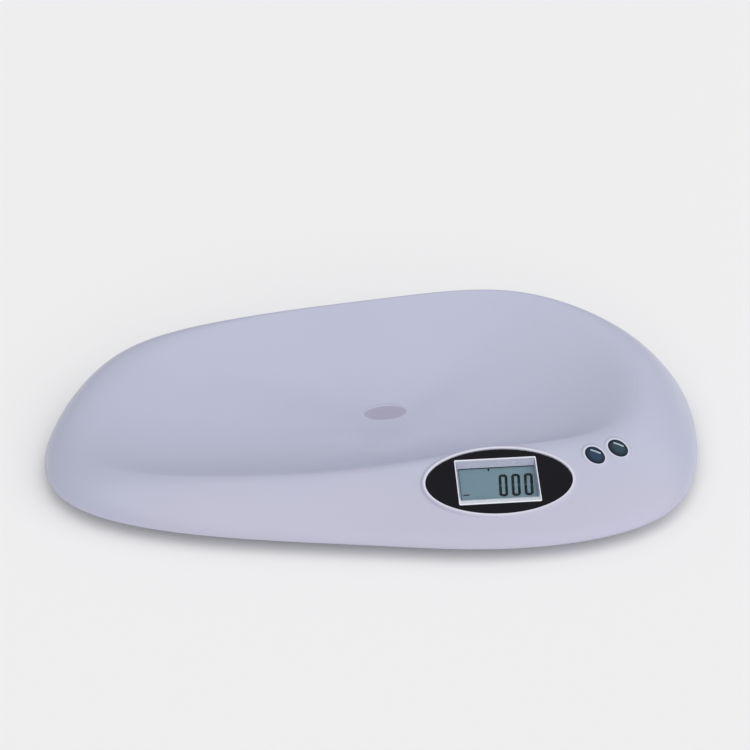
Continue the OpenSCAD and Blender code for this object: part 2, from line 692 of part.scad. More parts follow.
module base_shell() color("#b9b9c6") difference() {
    union() {
        base_dish();
        for (p = pillar_at) translate([p.x, p.y, base_z])
            cylinder(h = boss_z - base_z, d = boss_d, $fn = 32);
        at_feet() foot_pocket_body();
        floor_ribs();
        bay_body();
    }
    for (p = pillar_at) translate([p.x, p.y, base_z - 1]) {
        cylinder(h = through, d = case_screw_d + 4 * pin_play, $fn = 24);
        cylinder(h = case_sink + 1, d = case_head_d + 2 * fit, $fn = 24);
    }
    at_feet() foot_pocket_cuts();
    bay_cuts();
}

module case_screws() color("#b8bac0") for (p = pillar_at)
    translate([p.x, p.y, base_z + case_sink])
        small_screw(boss_z - base_z - case_sink + case_bite, case_screw_d, case_head_d, case_head_t);

module door_plate() {
    translate([bay_at.x - door_l / 2, door_front, base_z])
        cube([door_l, hinge_y - door_front, door_t]);
    translate([bay_at.x, hinge_y, hinge_z]) rotate([0, 90, 0]) {
        cylinder(h = door_l, r = hinge_r, center = true, $fn = 32);
        cylinder(h = door_l + 2 * hinge_pin_l, r = hinge_pin_r, center = true, $fn = 32);
    }
    translate([bay_at.x - latch_w / 2, door_front - latch_l, base_z])
        cube([latch_w, latch_l + eps, latch_t]);
}
module battery_door() color("#b9b9c6") difference() {
    door_plate();
    for (i = [1:grip_count]) translate([bay_at.x - grip_l / 2, door_front + i * grip_pitch, base_z - 1])
        cube([grip_l, grip_w, grip_deep + 1]);
}

module battery() color("#37383c") translate([battery_x, bay_at.y, battery_z + battery_t / 2])
    rotate([0, 90, 0]) {
        plate(battery_t, battery_w, battery_l, 1.5);
        for (k = [0, 1]) translate([0, (k - 0.5) * terminal_pitch, 0])
            cylinder(h = battery_l + terminal_h, d = terminal_d[k], $fn = 24);
    }

module battery_snap() color("#1d1d20") translate([snap_x, bay_at.y, battery_z + battery_t / 2])
    rotate([0, 90, 0]) difference() {
        plate(snap_w, battery_w - 1, snap_t, 3);
        for (k = [0, 1]) translate([0, (k - 0.5) * terminal_pitch, -1])
            cylinder(h = terminal_h - fit + 1, d = terminal_d[k] + 4 * pin_play, $fn = 24);
    }

module battery_leads() color("#b0302c") for (k = [-1, 1])
    lead([for (p = [[snap_x + snap_t, bay_at.y, lead_slot_z + lead_slot_h / 2],
                    [bay_at.x + bay_l / 2 + bay_lead_out, bay_at.y, lead_slot_z + lead_slot_h / 2],
                    plug_at[4] - [lead_run, 0, 0], plug_at[4]]) p + [0, 2 * k, 0]]);

// ---- Feet -------------------------------------------------------------

module foot_pad(i) color("#3a3a3e") at_foot(i) rotate_extrude($fn = 48) polygon([
    [0, pad_hollow], [pad_d / 4, pad_hollow], [pad_d / 4, 0],
    for (a = [0:30:90]) [pad_d / 2 - pad_soft * (1 - sin(a)), pad_soft * (1 - cos(a))],
    [pad_d / 2, pad_t], [0, pad_t]]);

module foot_cup(i) color("#d8d8e0") at_foot(i) difference() {
    union() {
        translate([0, 0, cup_z]) cylinder(h = cup_t, d = cup_d, $fn = 64);
        translate([0, 0, cup_z]) cylinder(h = cup_t + 0.8, d = cup_d * 0.6, $fn = 48);
        translate([0, 0, cup_z]) cylinder(h = cell_z - cup_z, d = stud_d, $fn = 32);
    }
    translate([0, 0, cup_z - 1]) cylinder(h = 1 + pad_seat, d = pad_d + 2 * fit, $fn = 48);
}

module load_cell(i) color("#a8adb3") at_foot(i) translate([0, 0, cell_z]) linear_extrude(cell_t)
    difference() {
        round_rect(cell_l, cell_l, 2);
        difference() {
            round_rect(cell_window, cell_window, 1);
            translate([-cell_window / 2 - 1, -tongue_w / 2]) square([cell_window / 2 + 8, tongue_w]);
        }
    }

module cell_retainer(i) color("#d8d8e0") at_foot(i) difference() {
    union() {
        translate([0, 0, cell_z - ring_t]) cylinder(h = ring_t, d = pocket_d - 2 * slip, $fn = 64);
        for (k = [-1, 1]) translate([0, k * ring_screw_r, cell_z - ring_t])
            cylinder(h = ring_t + cell_t, d = ring_lug_d, $fn = 24);
    }
    translate([0, 0, cell_z - ring_t - 1]) cylinder(h = ring_t + 1 + eps, d = ring_id, $fn = 64);
    for (k = [-1, 1]) translate([0, k * ring_screw_r, 0])
        cylinder(h = through, d = ring_screw_d + 4 * pin_play, $fn = 24);
}

module retainer_screws() color("#b8bac0") at_feet() for (k = [-1, 1])
    translate([0, k * ring_screw_r, cell_z - ring_t])
        small_screw(ring_t + cell_t + pocket_roof - 0.5, ring_screw_d, 3.8, 1);

// Way of each cell's lead from the cell to its plug, over the base's floor:
// the front left one passes behind the door's hinge, the others behind the board.
way_x = plug_at[0].x - 23;
way_back = hinge_y + 11;
way_board = bezel_at.y + bezel_w / 2 + 12;
lead_ways = [
    [[foot_at[0].x + 57, way_back, lead_z], [way_x - 26, way_back - 4, lead_z]],
    [[foot_at[1].x, foot_at[1].y + 58, lead_z], [foot_at[1].x - 99, foot_at[1].y + 58, lead_z],
     [way_x, way_board - 6, lead_z]],
    [[foot_at[2].x - 121, foot_at[2].y - 2, lead_z], [way_x + 8, 6, lead_z],
     [way_x - 8, way_board, lead_z]],
    [[foot_at[3].x + 109, foot_at[3].y - 22, lead_z], [way_x - 18, -6, lead_z],
     [way_x - 16, way_board, lead_z]]];
lead_plug = [0, 3, 2, 1];
module cell_lead(i) {
    turn = feet[i][1];
    out = [foot_at[i].x, foot_at[i].y, lead_z];
    way = [cos(turn), sin(turn), 0];
    end = plug_at[lead_plug[i]];
    color("#8d2f2c") lead([out + way * cell_l / 2, out + way * (pocket_d / 2 + 8),
        each lead_ways[i], end - [lead_run, 0, 0], end]);
}

module foot_pad_front_left() foot_pad(0);
module foot_pad_front_right() foot_pad(1);
module foot_pad_rear_right() foot_pad(2);
module foot_pad_rear_left() foot_pad(3);
module foot_cup_front_left() foot_cup(0);
module foot_cup_front_right() foot_cup(1);
module foot_cup_rear_right() foot_cup(2);
module foot_cup_rear_left() foot_cup(3);
module load_cell_front_left() load_cell(0);
module load_cell_front_right() load_cell(1);
module load_cell_rear_right() load_cell(2);
module load_cell_rear_left() load_cell(3);
module cell_retainer_front_left() cell_retainer(0);
module cell_retainer_front_right() cell_retainer(1);
module cell_retainer_rear_right() cell_retainer(2);
module cell_retainer_rear_left() cell_retainer(3);
module cell_lead_front_left() cell_lead(0);
module cell_lead_front_right() cell_lead(1);
module cell_lead_rear_right() cell_lead(2);
module cell_lead_rear_left() cell_lead(3);

tray_shell();
tray_mark();
base_shell();
case_screws();
display_bezel();
window_frame();
window_lens();
lcd_glass();
lcd_carrier();
zebra_strips();
main_board();
board_chips();
board_plugs();
board_screws();
key_left();
key_right();
switch_plunger_left();
switch_plunger_right();
switch_bodies();
key_board();
key_board_screws();
battery_door();
battery();
battery_snap();
battery_leads();
foot_pad_front_left();
foot_pad_front_right();
foot_pad_rear_right();
foot_pad_rear_left();
foot_cup_front_left();
foot_cup_front_right();
foot_cup_rear_right();
foot_cup_rear_left();
load_cell_front_left();
load_cell_front_right();
load_cell_rear_right();
load_cell_rear_left();
cell_retainer_front_left();
cell_retainer_front_right();
cell_retainer_rear_right();
cell_retainer_rear_left();
retainer_screws();
cell_lead_front_left();
cell_lead_front_right();
cell_lead_rear_right();
cell_lead_rear_left();
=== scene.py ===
"""Looks of the digital baby weighing scale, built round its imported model.

Lengths are in millimetres and become metres where a mesh is made. A place on the
tray is a knot value t, which runs round the outline, and a section value s, which
is -1 at the lower edge, 0 on the crest and 1 at the lowest point of the lying surface.
"""

import math

import bmesh
import bpy
import numpy as np
from mathutils import Matrix, Vector
from mathutils.bvhtree import BVHTree


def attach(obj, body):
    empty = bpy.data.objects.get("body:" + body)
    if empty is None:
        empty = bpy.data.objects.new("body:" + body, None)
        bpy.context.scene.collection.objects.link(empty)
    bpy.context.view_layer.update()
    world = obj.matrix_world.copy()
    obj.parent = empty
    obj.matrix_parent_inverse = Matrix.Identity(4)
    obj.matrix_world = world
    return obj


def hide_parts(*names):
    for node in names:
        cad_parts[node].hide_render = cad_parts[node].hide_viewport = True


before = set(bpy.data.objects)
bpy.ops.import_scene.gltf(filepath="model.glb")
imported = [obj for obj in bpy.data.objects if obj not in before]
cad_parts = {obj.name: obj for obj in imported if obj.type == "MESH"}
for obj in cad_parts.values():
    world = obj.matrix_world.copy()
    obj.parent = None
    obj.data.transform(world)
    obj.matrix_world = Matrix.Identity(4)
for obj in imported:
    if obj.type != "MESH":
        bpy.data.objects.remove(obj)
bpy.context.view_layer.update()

MM = 0.001

# ---- Sizes that the model repeats from its construction ---------------------

BODY_L, BODY_W = 550, 286
RIM_HIGH, RIM_LOW = 83, 33     # heights of the crest's control line
PAN_Z, LIP_Z = 24, 12          # heights of the lowest point and of the lower edge
LOW_POINT = (11, 8)
WALL = 2.8
CREST_ROUND = 5
EDGE_ROUND, EDGE_RISE = 8, 6   # depth and height of the rounding over the lower edge
SLOPE_POWER = 2.5

# Control knots round the tray. Edge: shares of half the length and half the width.
EDGE = np.array([
    (1.01, -0.04), (1.00, 0.61), (0.52, 0.99), (0.06, 1.01),
    (-0.42, 0.98), (-0.85, 1.02), (-1.05, 0.07), (-0.94, -0.51),
    (-0.51, -0.78), (-0.02, -0.91), (0.37, -1.05), (0.90, -0.88)])
# Crest: the same shares, then the height from RIM_LOW (0) to RIM_HIGH (1).
CREST = np.array([
    (0.86, 0.12, 0.60), (0.79, 0.58, 0.74), (0.49, 0.95, 1.00), (0.07, 0.89, 0.86),
    (-0.39, 0.92, 0.60), (-0.80, 0.76, 0.34), (-0.94, 0.19, 0.10), (-0.86, -0.44, 0.00),
    (-0.47, -0.42, 0.08), (-0.05, -0.50, 0.20), (0.36, -0.40, 0.34), (0.72, -0.36, 0.40)])
# Section: straightness of the outer flank, then the power of the inner curve.
SECTION = np.array([
    (0.50, 3.0), (0.40, 2.4), (0.30, 2.0), (0.30, 2.0), (0.30, 2.0), (0.30, 2.0),
    (0.35, 2.0), (0.60, 2.0), (0.80, 2.0), (0.85, 2.0), (0.85, 2.2), (0.70, 2.6)])
KNOTS = len(EDGE)

FIT, SLIP = 0.2, 0.3   # gaps round a piece in its seat and between moving pieces

# Display: its bezel, the window in it, and the lens and glass below the window.
DISPLAY_ON = (9.93, -0.36)   # knot and section value of its middle
BEZEL_L, BEZEL_W, BEZEL_T = 118.8, 61.8, 2.4
BEZEL_TILT, BEZEL_SINK = 18, 0.6
LEDGE, LIP_H = 2, 0.8
WINDOW_L, WINDOW_W, WINDOW_X, WINDOW_Y = 66.5, 43, -1.1, 0.5
VIEW_L, VIEW_W, VIEW_X, VIEW_Y = 62, 30, 0.5, 0.9
WINDOW_DEEP, WINDOW_EDGE = 4.6, 0.8
LENS_T, LENS_OVER = 1, 0.8
LENS_L, LENS_W = VIEW_L + 2 * LENS_OVER, VIEW_W + 2 * LENS_OVER
LCD_T = 2

# Keys: the field that they stand on, their guides in the tray, then their caps.
KEYS_ON = ((10.69, -0.28), (10.91, -0.29))   # the field's middle lies between these
KEY_PROUD, KEYS_TILT, KEYS_LEAN = 2.1, 18.2, 3.9
KEY_GUIDE_W, KEY_GUIDE_Z, KEY_RIM_H = 1.6, -4.3, 0.5
KEY_FLANGE, FLANGE_T, KEY_STEM_D, KEY_STEM_H = 1.4, 1.2, 6, 2.4
KEY_SOFT, KEY_DOME, KEY_BEND = 0.7, 1, 60

# The keys are shown a little smaller and turned further than the solids, by the photograph.
KEY_L, KEY_W, KEY_TURN = 17.5, 13.7, -50.5
KEYS_X, KEYS_Y, KEYS_ROW, KEY_PITCH = 0.5, 0.7, 19.3, 21.0

# Mark: the oval plate in the lying surface and the smaller oval printed on it.
MARK_ON = (3.03, 0.84)
MARK_L, MARK_W, MARK_T = 37, 20, 0.8
MARK_TILT, MARK_LEAN, MARK_GAP = 7.8, -0.7, 0.05
PRINT_L, PRINT_W, PRINT_DOWN, PRINT_TURN = 36.4, 17.0, 1.2, 3.5

# ---- The tray's surface -----------------------------------------------------

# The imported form, on which the display, keys and mark stand: every section has the same
# rounding of its crest and no hollow behind it.
PACKED = (CREST, np.column_stack([SECTION, np.zeros(KNOTS), np.full(KNOTS, CREST_ROUND)]))

# The shown form, drawn closer to the photograph: each section also has the depth of a
# shallow hollow behind the crest and the crest's own rounding.
SHOWN = (
    np.array([
        (0.838, 0.120, 0.520), (0.768, 0.580, 0.781), (0.490, 0.950, 0.986),
        (0.070, 0.890, 0.860), (-0.390, 0.920, 0.600), (-0.800, 0.760, 0.340),
        (-0.940, 0.190, -0.080), (-0.860, -0.331, 0.080), (-0.470, -0.506, 0.220),
        (-0.050, -0.507, 0.210), (0.360, -0.372, 0.342), (0.727, -0.379, 0.375)]),
    np.array([
        (0.50, 2.22, 0.0, 16.0), (0.35, 1.76, 0.0, 9.3), (0.30, 2.00, 0.0, 6.2),
        (0.30, 2.00, 0.0, 5.2), (0.30, 2.00, 0.0, 5.0), (0.30, 1.50, 0.0, 14.8),
        (1.00, 1.50, 1.9, 15.9), (0.20, 2.97, 5.2, 7.0), (0.75, 2.78, 1.2, 7.0),
        (0.98, 2.15, 6.2, 7.0), (0.77, 3.26, 2.6, 3.2), (0.80, 2.74, 3.1, 11.6)]))
# The hollow is deepest DIP_NEAR behind the crest and runs out over the next DIP_FAR.
DIP_NEAR, DIP_FAR = 89, 150


def spline(knots, t):
    """Points of a closed uniform cubic spline."""
    t = np.asarray(t, float)
    base = np.floor(t).astype(int)
    f = (t - base)[..., None]
    g = 1 - f
    p = [knots[(base + k) % len(knots)] for k in (-1, 0, 1, 2)]
    return (g**3 * p[0] + (3 * f**3 - 6 * f**2 + 4) * p[1]
            + (3 * g**3 - 6 * g**2 + 4) * p[2] + f**3 * p[3]) / 6


def edge_at(t):
    """Points of the outline."""
    return spline(EDGE, t) * (BODY_L / 2, BODY_W / 2)


def edge_in(t, inset):
    """The outline moved inwards."""
    step = 0.01   # of the knot value, for the outline's direction
    way = edge_at(np.asarray(t) + step) - edge_at(np.asarray(t) - step)
    way /= np.linalg.norm(way, axis=-1, keepdims=True)
    return edge_at(t) - inset * np.stack([way[..., 1], -way[..., 0]], -1)


def sections(t, form=PACKED, inner=False):
    """Edge, crest, section values, lowest point and edge rounding of the sections at t.

    The inner ones belong to the wall's inner side.
    """
    t = np.asarray(t, float)
    crest = spline(form[0], t) * (BODY_L / 2, BODY_W / 2, RIM_HIGH - RIM_LOW) + (0, 0, RIM_LOW)
    low = np.array([*LOW_POINT, PAN_Z], float)
    shape = spline(form[1], t)
    # A wider rounding lowers the skin by half of itself, which is made up for here.
    crest[..., 2] += (shape[..., 3] - CREST_ROUND) / 2
    if not inner:
        return edge_at(t), crest, shape, low, EDGE_ROUND, EDGE_RISE
    edge = edge_in(t, WALL)
    way = low[:2] - crest[..., :2]
    run_in = np.linalg.norm(way, axis=-1)
    run_out = np.linalg.norm(crest[..., :2] - edge_at(t), axis=-1)
    slope_out = shape[..., 0] * (crest[..., 2] - LIP_Z - EDGE_RISE) / run_out
    slope_in = shape[..., 1] * (crest[..., 2] - low[2]) / run_in
    len_out, len_in = np.hypot(1, slope_out), np.hypot(1, slope_in)
    shift = WALL * (len_out - len_in) / (slope_out + slope_in)
    moved = crest.copy()
    moved[..., :2] += way / run_in[..., None] * shift[..., None]
    moved[..., 2] -= slope_in * shift + WALL * len_in
    return edge, moved, shape, low - (0, 0, WALL), EDGE_ROUND - WALL, EDGE_RISE - WALL


def dip(run, depth):
    """Shallow hollow along the inner side of the crest, by the distance from it."""
    near = 1 - run / DIP_NEAR
    near = 1 - np.where(run < DIP_NEAR, near**2, 0)
    far = np.clip((run - DIP_NEAR) / DIP_FAR, 0, 1)
    return depth * near * (1 - 3 * far**2 + 2 * far**3)


def skin(section, s):
    """Points of the sections at section value s."""
    edge, crest, shape, low, depth, rise = section
    run_out = np.linalg.norm(crest[..., :2] - edge, axis=-1)
    run_in = np.linalg.norm(low[:2] - crest[..., :2], axis=-1)
    if s <= 0:
        u, r = s + 1, 1 - s * run_out / run_in
        at = edge + (crest[..., :2] - edge) * u
    else:
        u, r = 1 + s * run_in / run_out, 1 - s
        at = crest[..., :2] + (low[:2] - crest[..., :2]) * s
    near = 1 - np.minimum(u * run_out / depth, 1)
    bend = np.where(np.less(u, 1), 1 - np.clip(1 - u, 0, 1) ** SLOPE_POWER, 1)
    full = shape[..., 0] * u + (1 - shape[..., 0]) * bend
    z_out = LIP_Z + rise * np.sqrt(1 - near * near) + (crest[..., 2] - LIP_Z - rise) * full
    z_in = low[2] + (crest[..., 2] - low[2]) * r ** shape[..., 1]
    z_in = z_in - dip(np.maximum(1 - r, 0) * run_in, shape[..., 2])
    z = (z_out + z_in - np.hypot(z_out - z_in, shape[..., 3])) / 2
    return np.concatenate([at, z[..., None]], -1)


def surface_at(t, s):
    """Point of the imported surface."""
    return skin(sections(t), s)


# ---- Places -----------------------------------------------------------------


def stand(at, tilt, lean=0):
    """Frame on the tray, tilted to the front and leaning to the right."""
    return (Matrix.Translation(Vector(at)) @ Matrix.Rotation(math.radians(lean), 4, "Y")
            @ Matrix.Rotation(math.radians(tilt), 4, "X"))


DISPLAY = stand(surface_at(*DISPLAY_ON) - (0, 0, BEZEL_SINK), BEZEL_TILT)
WINDOW = DISPLAY @ Matrix.Translation((WINDOW_X, WINDOW_Y, 0))
KEYS = (stand(sum(surface_at(*on) for on in KEYS_ON) / 2, KEYS_TILT, KEYS_LEAN)
        @ Matrix.Translation((KEYS_X, KEYS_Y, 0)))
MARK = stand(surface_at(*MARK_ON), MARK_TILT, MARK_LEAN)


def key_frame(side):
    """Frame of the left (-1) or right (1) key, with x along its longer axis."""
    return (KEYS @ Matrix.Rotation(math.radians(KEYS_ROW), 4, "Z")
            @ Matrix.Translation((side * KEY_PITCH / 2, 0, 0))
            @ Matrix.Rotation(math.radians(KEY_TURN - KEYS_ROW), 4, "Z"))


# ---- Mesh tools -------------------------------------------------------------


def put(points, place):
    """Points of a local frame in the row frame."""
    m = np.array(place)
    return np.asarray(points, float) @ m[:3, :3].T + m[:3, 3]


def make_object(name, points, faces):
    """Mesh object from points in millimetres."""
    mesh = bpy.data.meshes.new(name)
    mesh.from_pydata((np.asarray(points) * MM).tolist(), [], faces)
    mesh.validate()
    obj = bpy.data.objects.new(name, mesh)
    bpy.context.scene.collection.objects.link(obj)
    return obj


def skin_faces(count, n, loop=False):
    """Quads between count rings of n points; a loop also joins the last ring to the first."""
    faces = []
    for j in range(count if loop else count - 1):
        a, b = j * n, (j + 1) % count * n
        faces += [(a + i, a + (i + 1) % n, b + (i + 1) % n, b + i) for i in range(n)]
    return faces


def closed_skin(name, rings, apex=None):
    """Closed solid through rings listed upwards and turning left."""
    n, count = len(rings[0]), len(rings)
    points = np.concatenate([np.asarray(r, float) for r in rings])
    faces = skin_faces(count, n) + [tuple(range(n))[::-1]]
    if apex is None:
        faces.append(tuple(range((count - 1) * n, count * n)))
    else:
        top = (count - 1) * n
        faces += [(top + i, top + (i + 1) % n, count * n) for i in range(n)]
        points = np.vstack([points, apex])
    return make_object(name, points, faces)


def hoop(name, rings):
    """Closed ring-shaped solid: the rings run round its section and close on the first."""
    n = len(rings[0])
    return make_object(name, np.concatenate(rings), skin_faces(len(rings), n, loop=True))


def oval(a, b, z=0.0, n=96, out=0.0):
    """Oval ring by its half axes, moved outwards along its normals."""
    angle = np.linspace(0, 2 * math.pi, n, endpoint=False)
    c, s = np.cos(angle), np.sin(angle)
    normal = np.stack([b * c, a * s], -1)
    normal /= np.linalg.norm(normal, axis=-1, keepdims=True)
    ring = np.stack([a * c, b * s], -1) + out * normal
    return np.column_stack([ring, np.full(n, z)])


def round_rect(l, w, r, z=0.0, x=0.0, y=0.0, steps=8):
    """Rectangular ring with round corners."""
    points = []
    for cx, cy, start in ((1, 1, 0), (-1, 1, 90), (-1, -1, 180), (1, -1, 270)):
        for k in range(steps + 1):
            a = math.radians(start + 90 * k / steps)
            points.append((x + cx * (l / 2 - r) + r * math.cos(a),
                           y + cy * (w / 2 - r) + r * math.sin(a), z))
    return np.array(points)


def boolean(target, tool, operation):
    """Cuts or joins another closed mesh, which is used up."""
    step = target.modifiers.new("step", "BOOLEAN")
    step.object, step.operation, step.solver = tool, operation, "MANIFOLD"
    graph = bpy.context.evaluated_depsgraph_get()
    mesh = bpy.data.meshes.new_from_object(target.evaluated_get(graph))
    target.modifiers.remove(step)
    old, target.data = target.data, mesh
    mesh.name = target.name
    bpy.data.meshes.remove(old)
    bpy.data.objects.remove(tool)


def turn_outwards(obj):
    """Makes the faces of a closed mesh look outwards."""
    mesh = bmesh.new()
    mesh.from_mesh(obj.data)
    bmesh.ops.recalc_face_normals(mesh, faces=mesh.faces)
    mesh.to_mesh(obj.data)
    mesh.free()


def smooth(obj, degrees):
    """Smooth shading that keeps the edges sharper than an angle."""
    obj.data.shade_smooth()
    obj.data.set_sharp_from_angle(angle=math.radians(degrees))


def finish_piece(obj, material, node=None, body="root", degrees=35):
    """Gives a piece its material, smooth shading and its body, and hides the CAD node that it stands
    for.
    """
    obj.data.materials.clear()
    obj.data.materials.append(material)
    smooth(obj, degrees)
    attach(obj, body)
    if node:
        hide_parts(node)


# ---- Materials --------------------------------------------------------------

# Scales are in features per metre, depths in millimetres.
GRAIN_SCALE, GRAIN_DEPTH = 1100, 0.006
FINE_SCALE = 1400
WAVE_SCALE, WAVE_DEPTH = 14, 0.12
MOTTLE_SCALE, GLOSS_SCALE = 22, 60
GLOSS_LOW, GLOSS_HIGH = 0.86, 1.14   # range of a moulding's roughness, as a share of it


class Shader:
    """A material with one Principled shader and short ways to feed it."""

    def __init__(self, name, color, roughness, **constants):
        self.material = bpy.data.materials.new(name)
        self.material.use_nodes = True
        self.nodes = self.material.node_tree.nodes
        self.links = self.material.node_tree.links
        self.shader = self.nodes["Principled BSDF"]
        self.shader.inputs["Base Color"].default_value = (*color, 1)
        self.shader.inputs["Roughness"].default_value = roughness
        for key, value in constants.items():
            self.shader.inputs[key.replace("_", " ")].default_value = value
        self.coord = self.nodes.new("ShaderNodeTexCoord").outputs["Object"]

    def noise(self, scale, detail, stretch=None):
        """Noise whose features are about 1/scale metres across."""
        at = self.coord
        if stretch:
            shape = self.nodes.new("ShaderNodeMapping")
            shape.inputs["Scale"].default_value = stretch
            self.links.new(at, shape.inputs["Vector"])
            at = shape.outputs["Vector"]
        node = self.nodes.new("ShaderNodeTexNoise")
        node.inputs["Scale"].default_value = scale
        node.inputs["Detail"].default_value = detail
        self.links.new(at, node.inputs["Vector"])
        return node.outputs["Fac"]

    def calc(self, operation, *values):
        """Sum, product and the like of sockets or numbers."""
        node = self.nodes.new("ShaderNodeMath")
        node.operation = operation
        for socket, value in zip(node.inputs, values):
            if isinstance(value, (int, float)):
                socket.default_value = value
            else:
                self.links.new(value, socket)
        return node.outputs["Value"]

    def local(self, place):
        """Coordinates in a frame on the object, in millimetres."""
        node = self.nodes.new("ShaderNodeMapping")
        node.vector_type = "TEXTURE"
        node.inputs["Location"].default_value = place.to_translation() * MM
        node.inputs["Rotation"].default_value = place.to_euler()
        node.inputs["Scale"].default_value = (MM, MM, MM)
        self.links.new(self.coord, node.inputs["Vector"])
        return node.outputs["Vector"]

    def parts(self, vector):
        """The vector's X, Y and Z."""
        node = self.nodes.new("ShaderNodeSeparateXYZ")
        self.links.new(vector, node.inputs["Vector"])
        return node.outputs

    def length(self, vector, weights):
        """Length of a vector whose parts are weighted."""
        scale, size = (self.nodes.new("ShaderNodeVectorMath") for _ in range(2))
        scale.operation, size.operation = "MULTIPLY", "LENGTH"
        self.links.new(vector, scale.inputs[0])
        scale.inputs[1].default_value = weights
        self.links.new(scale.outputs["Vector"], size.inputs[0])
        return size.outputs["Value"]

    def beyond(self, place, a, b):
        """Distance in millimetres past an oval of a frame, along the ray from its middle."""
        at = self.local(place)
        reach = self.length(at, (1, 1, 0))
        share = self.length(at, (1 / a, 1 / b, 0))
        return self.calc("SUBTRACT", reach, self.calc("DIVIDE", reach, share))

    def ramp(self, value, low, high, start=0.3, end=0.7):
        """Value from start..end stretched to low..high."""
        node = self.nodes.new("ShaderNodeMapRange")
        node.inputs["From Min"].default_value = start
        node.inputs["From Max"].default_value = end
        node.inputs["To Min"].default_value = low
        node.inputs["To Max"].default_value = high
        self.links.new(value, node.inputs["Value"])
        return node.outputs["Result"]

    def mix(self, share, first, second):
        """Colour between two colours or sockets."""
        node = self.nodes.new("ShaderNodeMix")
        node.data_type = "RGBA"
        self.links.new(share, node.inputs["Factor"])
        for name, value in (("A", first), ("B", second)):
            socket = next(s for s in node.inputs if s.name == name and s.type == "RGBA")
            if isinstance(value, tuple):
                socket.default_value = (*value, 1)
            else:
                self.links.new(value, socket)
        return next(s for s in node.outputs if s.type == "RGBA")

    def color(self, socket):
        self.links.new(socket, self.shader.inputs["Base Color"])

    def rough(self, socket):
        self.links.new(socket, self.shader.inputs["Roughness"])

    def bump(self, *layers):
        """Bump from (height socket, depth in millimetres) pairs."""
        normal = None
        for height, depth in layers:
            node = self.nodes.new("ShaderNodeBump")
            node.inputs["Strength"].default_value = 1.0
            node.inputs["Distance"].default_value = depth * MM
            self.links.new(height, node.inputs["Height"])
            if normal:
                self.links.new(normal, node.inputs["Normal"])
            normal = node.outputs["Normal"]
        self.links.new(normal, self.shader.inputs["Normal"])
        return self

    def moulded_skin(self, grain, depth):
        """Bump of moulded plastic: its fine grain over faint wide waves."""
        return self.bump((self.noise(grain, 2), depth), (self.noise(WAVE_SCALE, 1), WAVE_DEPTH))


def shade(color, k):
    """Colour made k times as light."""
    return tuple(min(c * k, 1) for c in color)


def moulded(name, color, roughness, mottle, grain=GRAIN_SCALE, depth=GRAIN_DEPTH, **constants):
    """Moulded plastic or rubber: faint mottling, uneven gloss and a fine skin."""
    m = Shader(name, color, roughness, **constants)
    spots = m.ramp(m.noise(MOTTLE_SCALE, 4), 0, 1)
    m.color(m.mix(spots, shade(color, 1 - mottle), shade(color, 1 + mottle)))
    m.rough(m.ramp(m.noise(GLOSS_SCALE, 3), roughness * GLOSS_LOW, roughness * GLOSS_HIGH))
    return m.moulded_skin(grain, depth).material


def metal(name, color, roughness):
    """Brushed or plated metal."""
    dull, bright = 0.86, 1.08
    smoother, rougher = 0.7, 1.4
    brushed, finely_brushed = (1, 6, 6), (1, 8, 8)
    m = Shader(name, color, roughness, Metallic=1.0)
    m.color(m.mix(m.ramp(m.noise(140, 3), 0, 1), shade(color, dull), shade(color, bright)))
    m.rough(m.ramp(m.noise(900, 3, brushed), roughness * smoother, roughness * rougher))
    return m.bump((m.noise(1500, 3, finely_brushed), 0.008)).material


def tray_plastic():
    """Pale lavender with a painted cool tint of shade behind the front, and painted highlights on
    the lips round the display and keys.
    """
    m = Shader("tray_plastic", (0.50, 0.50, 0.625), 0.33)
    # The back colour, cooler than the front one, is a painted cool tint of shade over the tray
    # behind its front slope.
    front, back = (0.508, 0.499, 0.622), (0.487, 0.503, 0.632)
    spot, spot_share = (0.40, 0.40, 0.52), 0.05
    # The light lip colour is a painted highlight round the display and the keys.
    lip, highlight_share = (0.72, 0.72, 0.82), 0.85
    bezel_highlight, key_highlight = 1.9, 1.3   # widths of the painted highlights on the lips
    fade_start, fade_end = 0.6, 1.5   # shares of these widths between which the painted highlight fades
    front_y, back_y, cloud_y = -0.07, -0.02, 0.06   # in metres, as the shader has them
    cloud = m.calc("MULTIPLY_ADD", m.noise(9, 3), cloud_y, m.parts(m.coord)["Y"])
    tone = m.mix(m.ramp(cloud, 0, 1, front_y, back_y), front, back)
    spots = m.ramp(m.noise(26, 4), 0, 1)
    tone = m.mix(m.calc("MULTIPLY", spots, spot_share), tone, spot)
    rings = [(DISPLAY, BEZEL_L, BEZEL_W, bezel_highlight)]
    rings += [(key_frame(side), KEY_L, KEY_W, key_highlight) for side in (-1, 1)]
    for place, l, w, wide in rings:
        away = m.beyond(place, l / 2, w / 2)
        light = m.ramp(away, highlight_share, 0, wide * fade_start, wide * fade_end)
        tone = m.mix(light, tone, lip)
    m.color(tone)
    m.rough(m.ramp(m.noise(GLOSS_SCALE, 3), 0.28, 0.38))
    return m.moulded_skin(GRAIN_SCALE, GRAIN_DEPTH).material


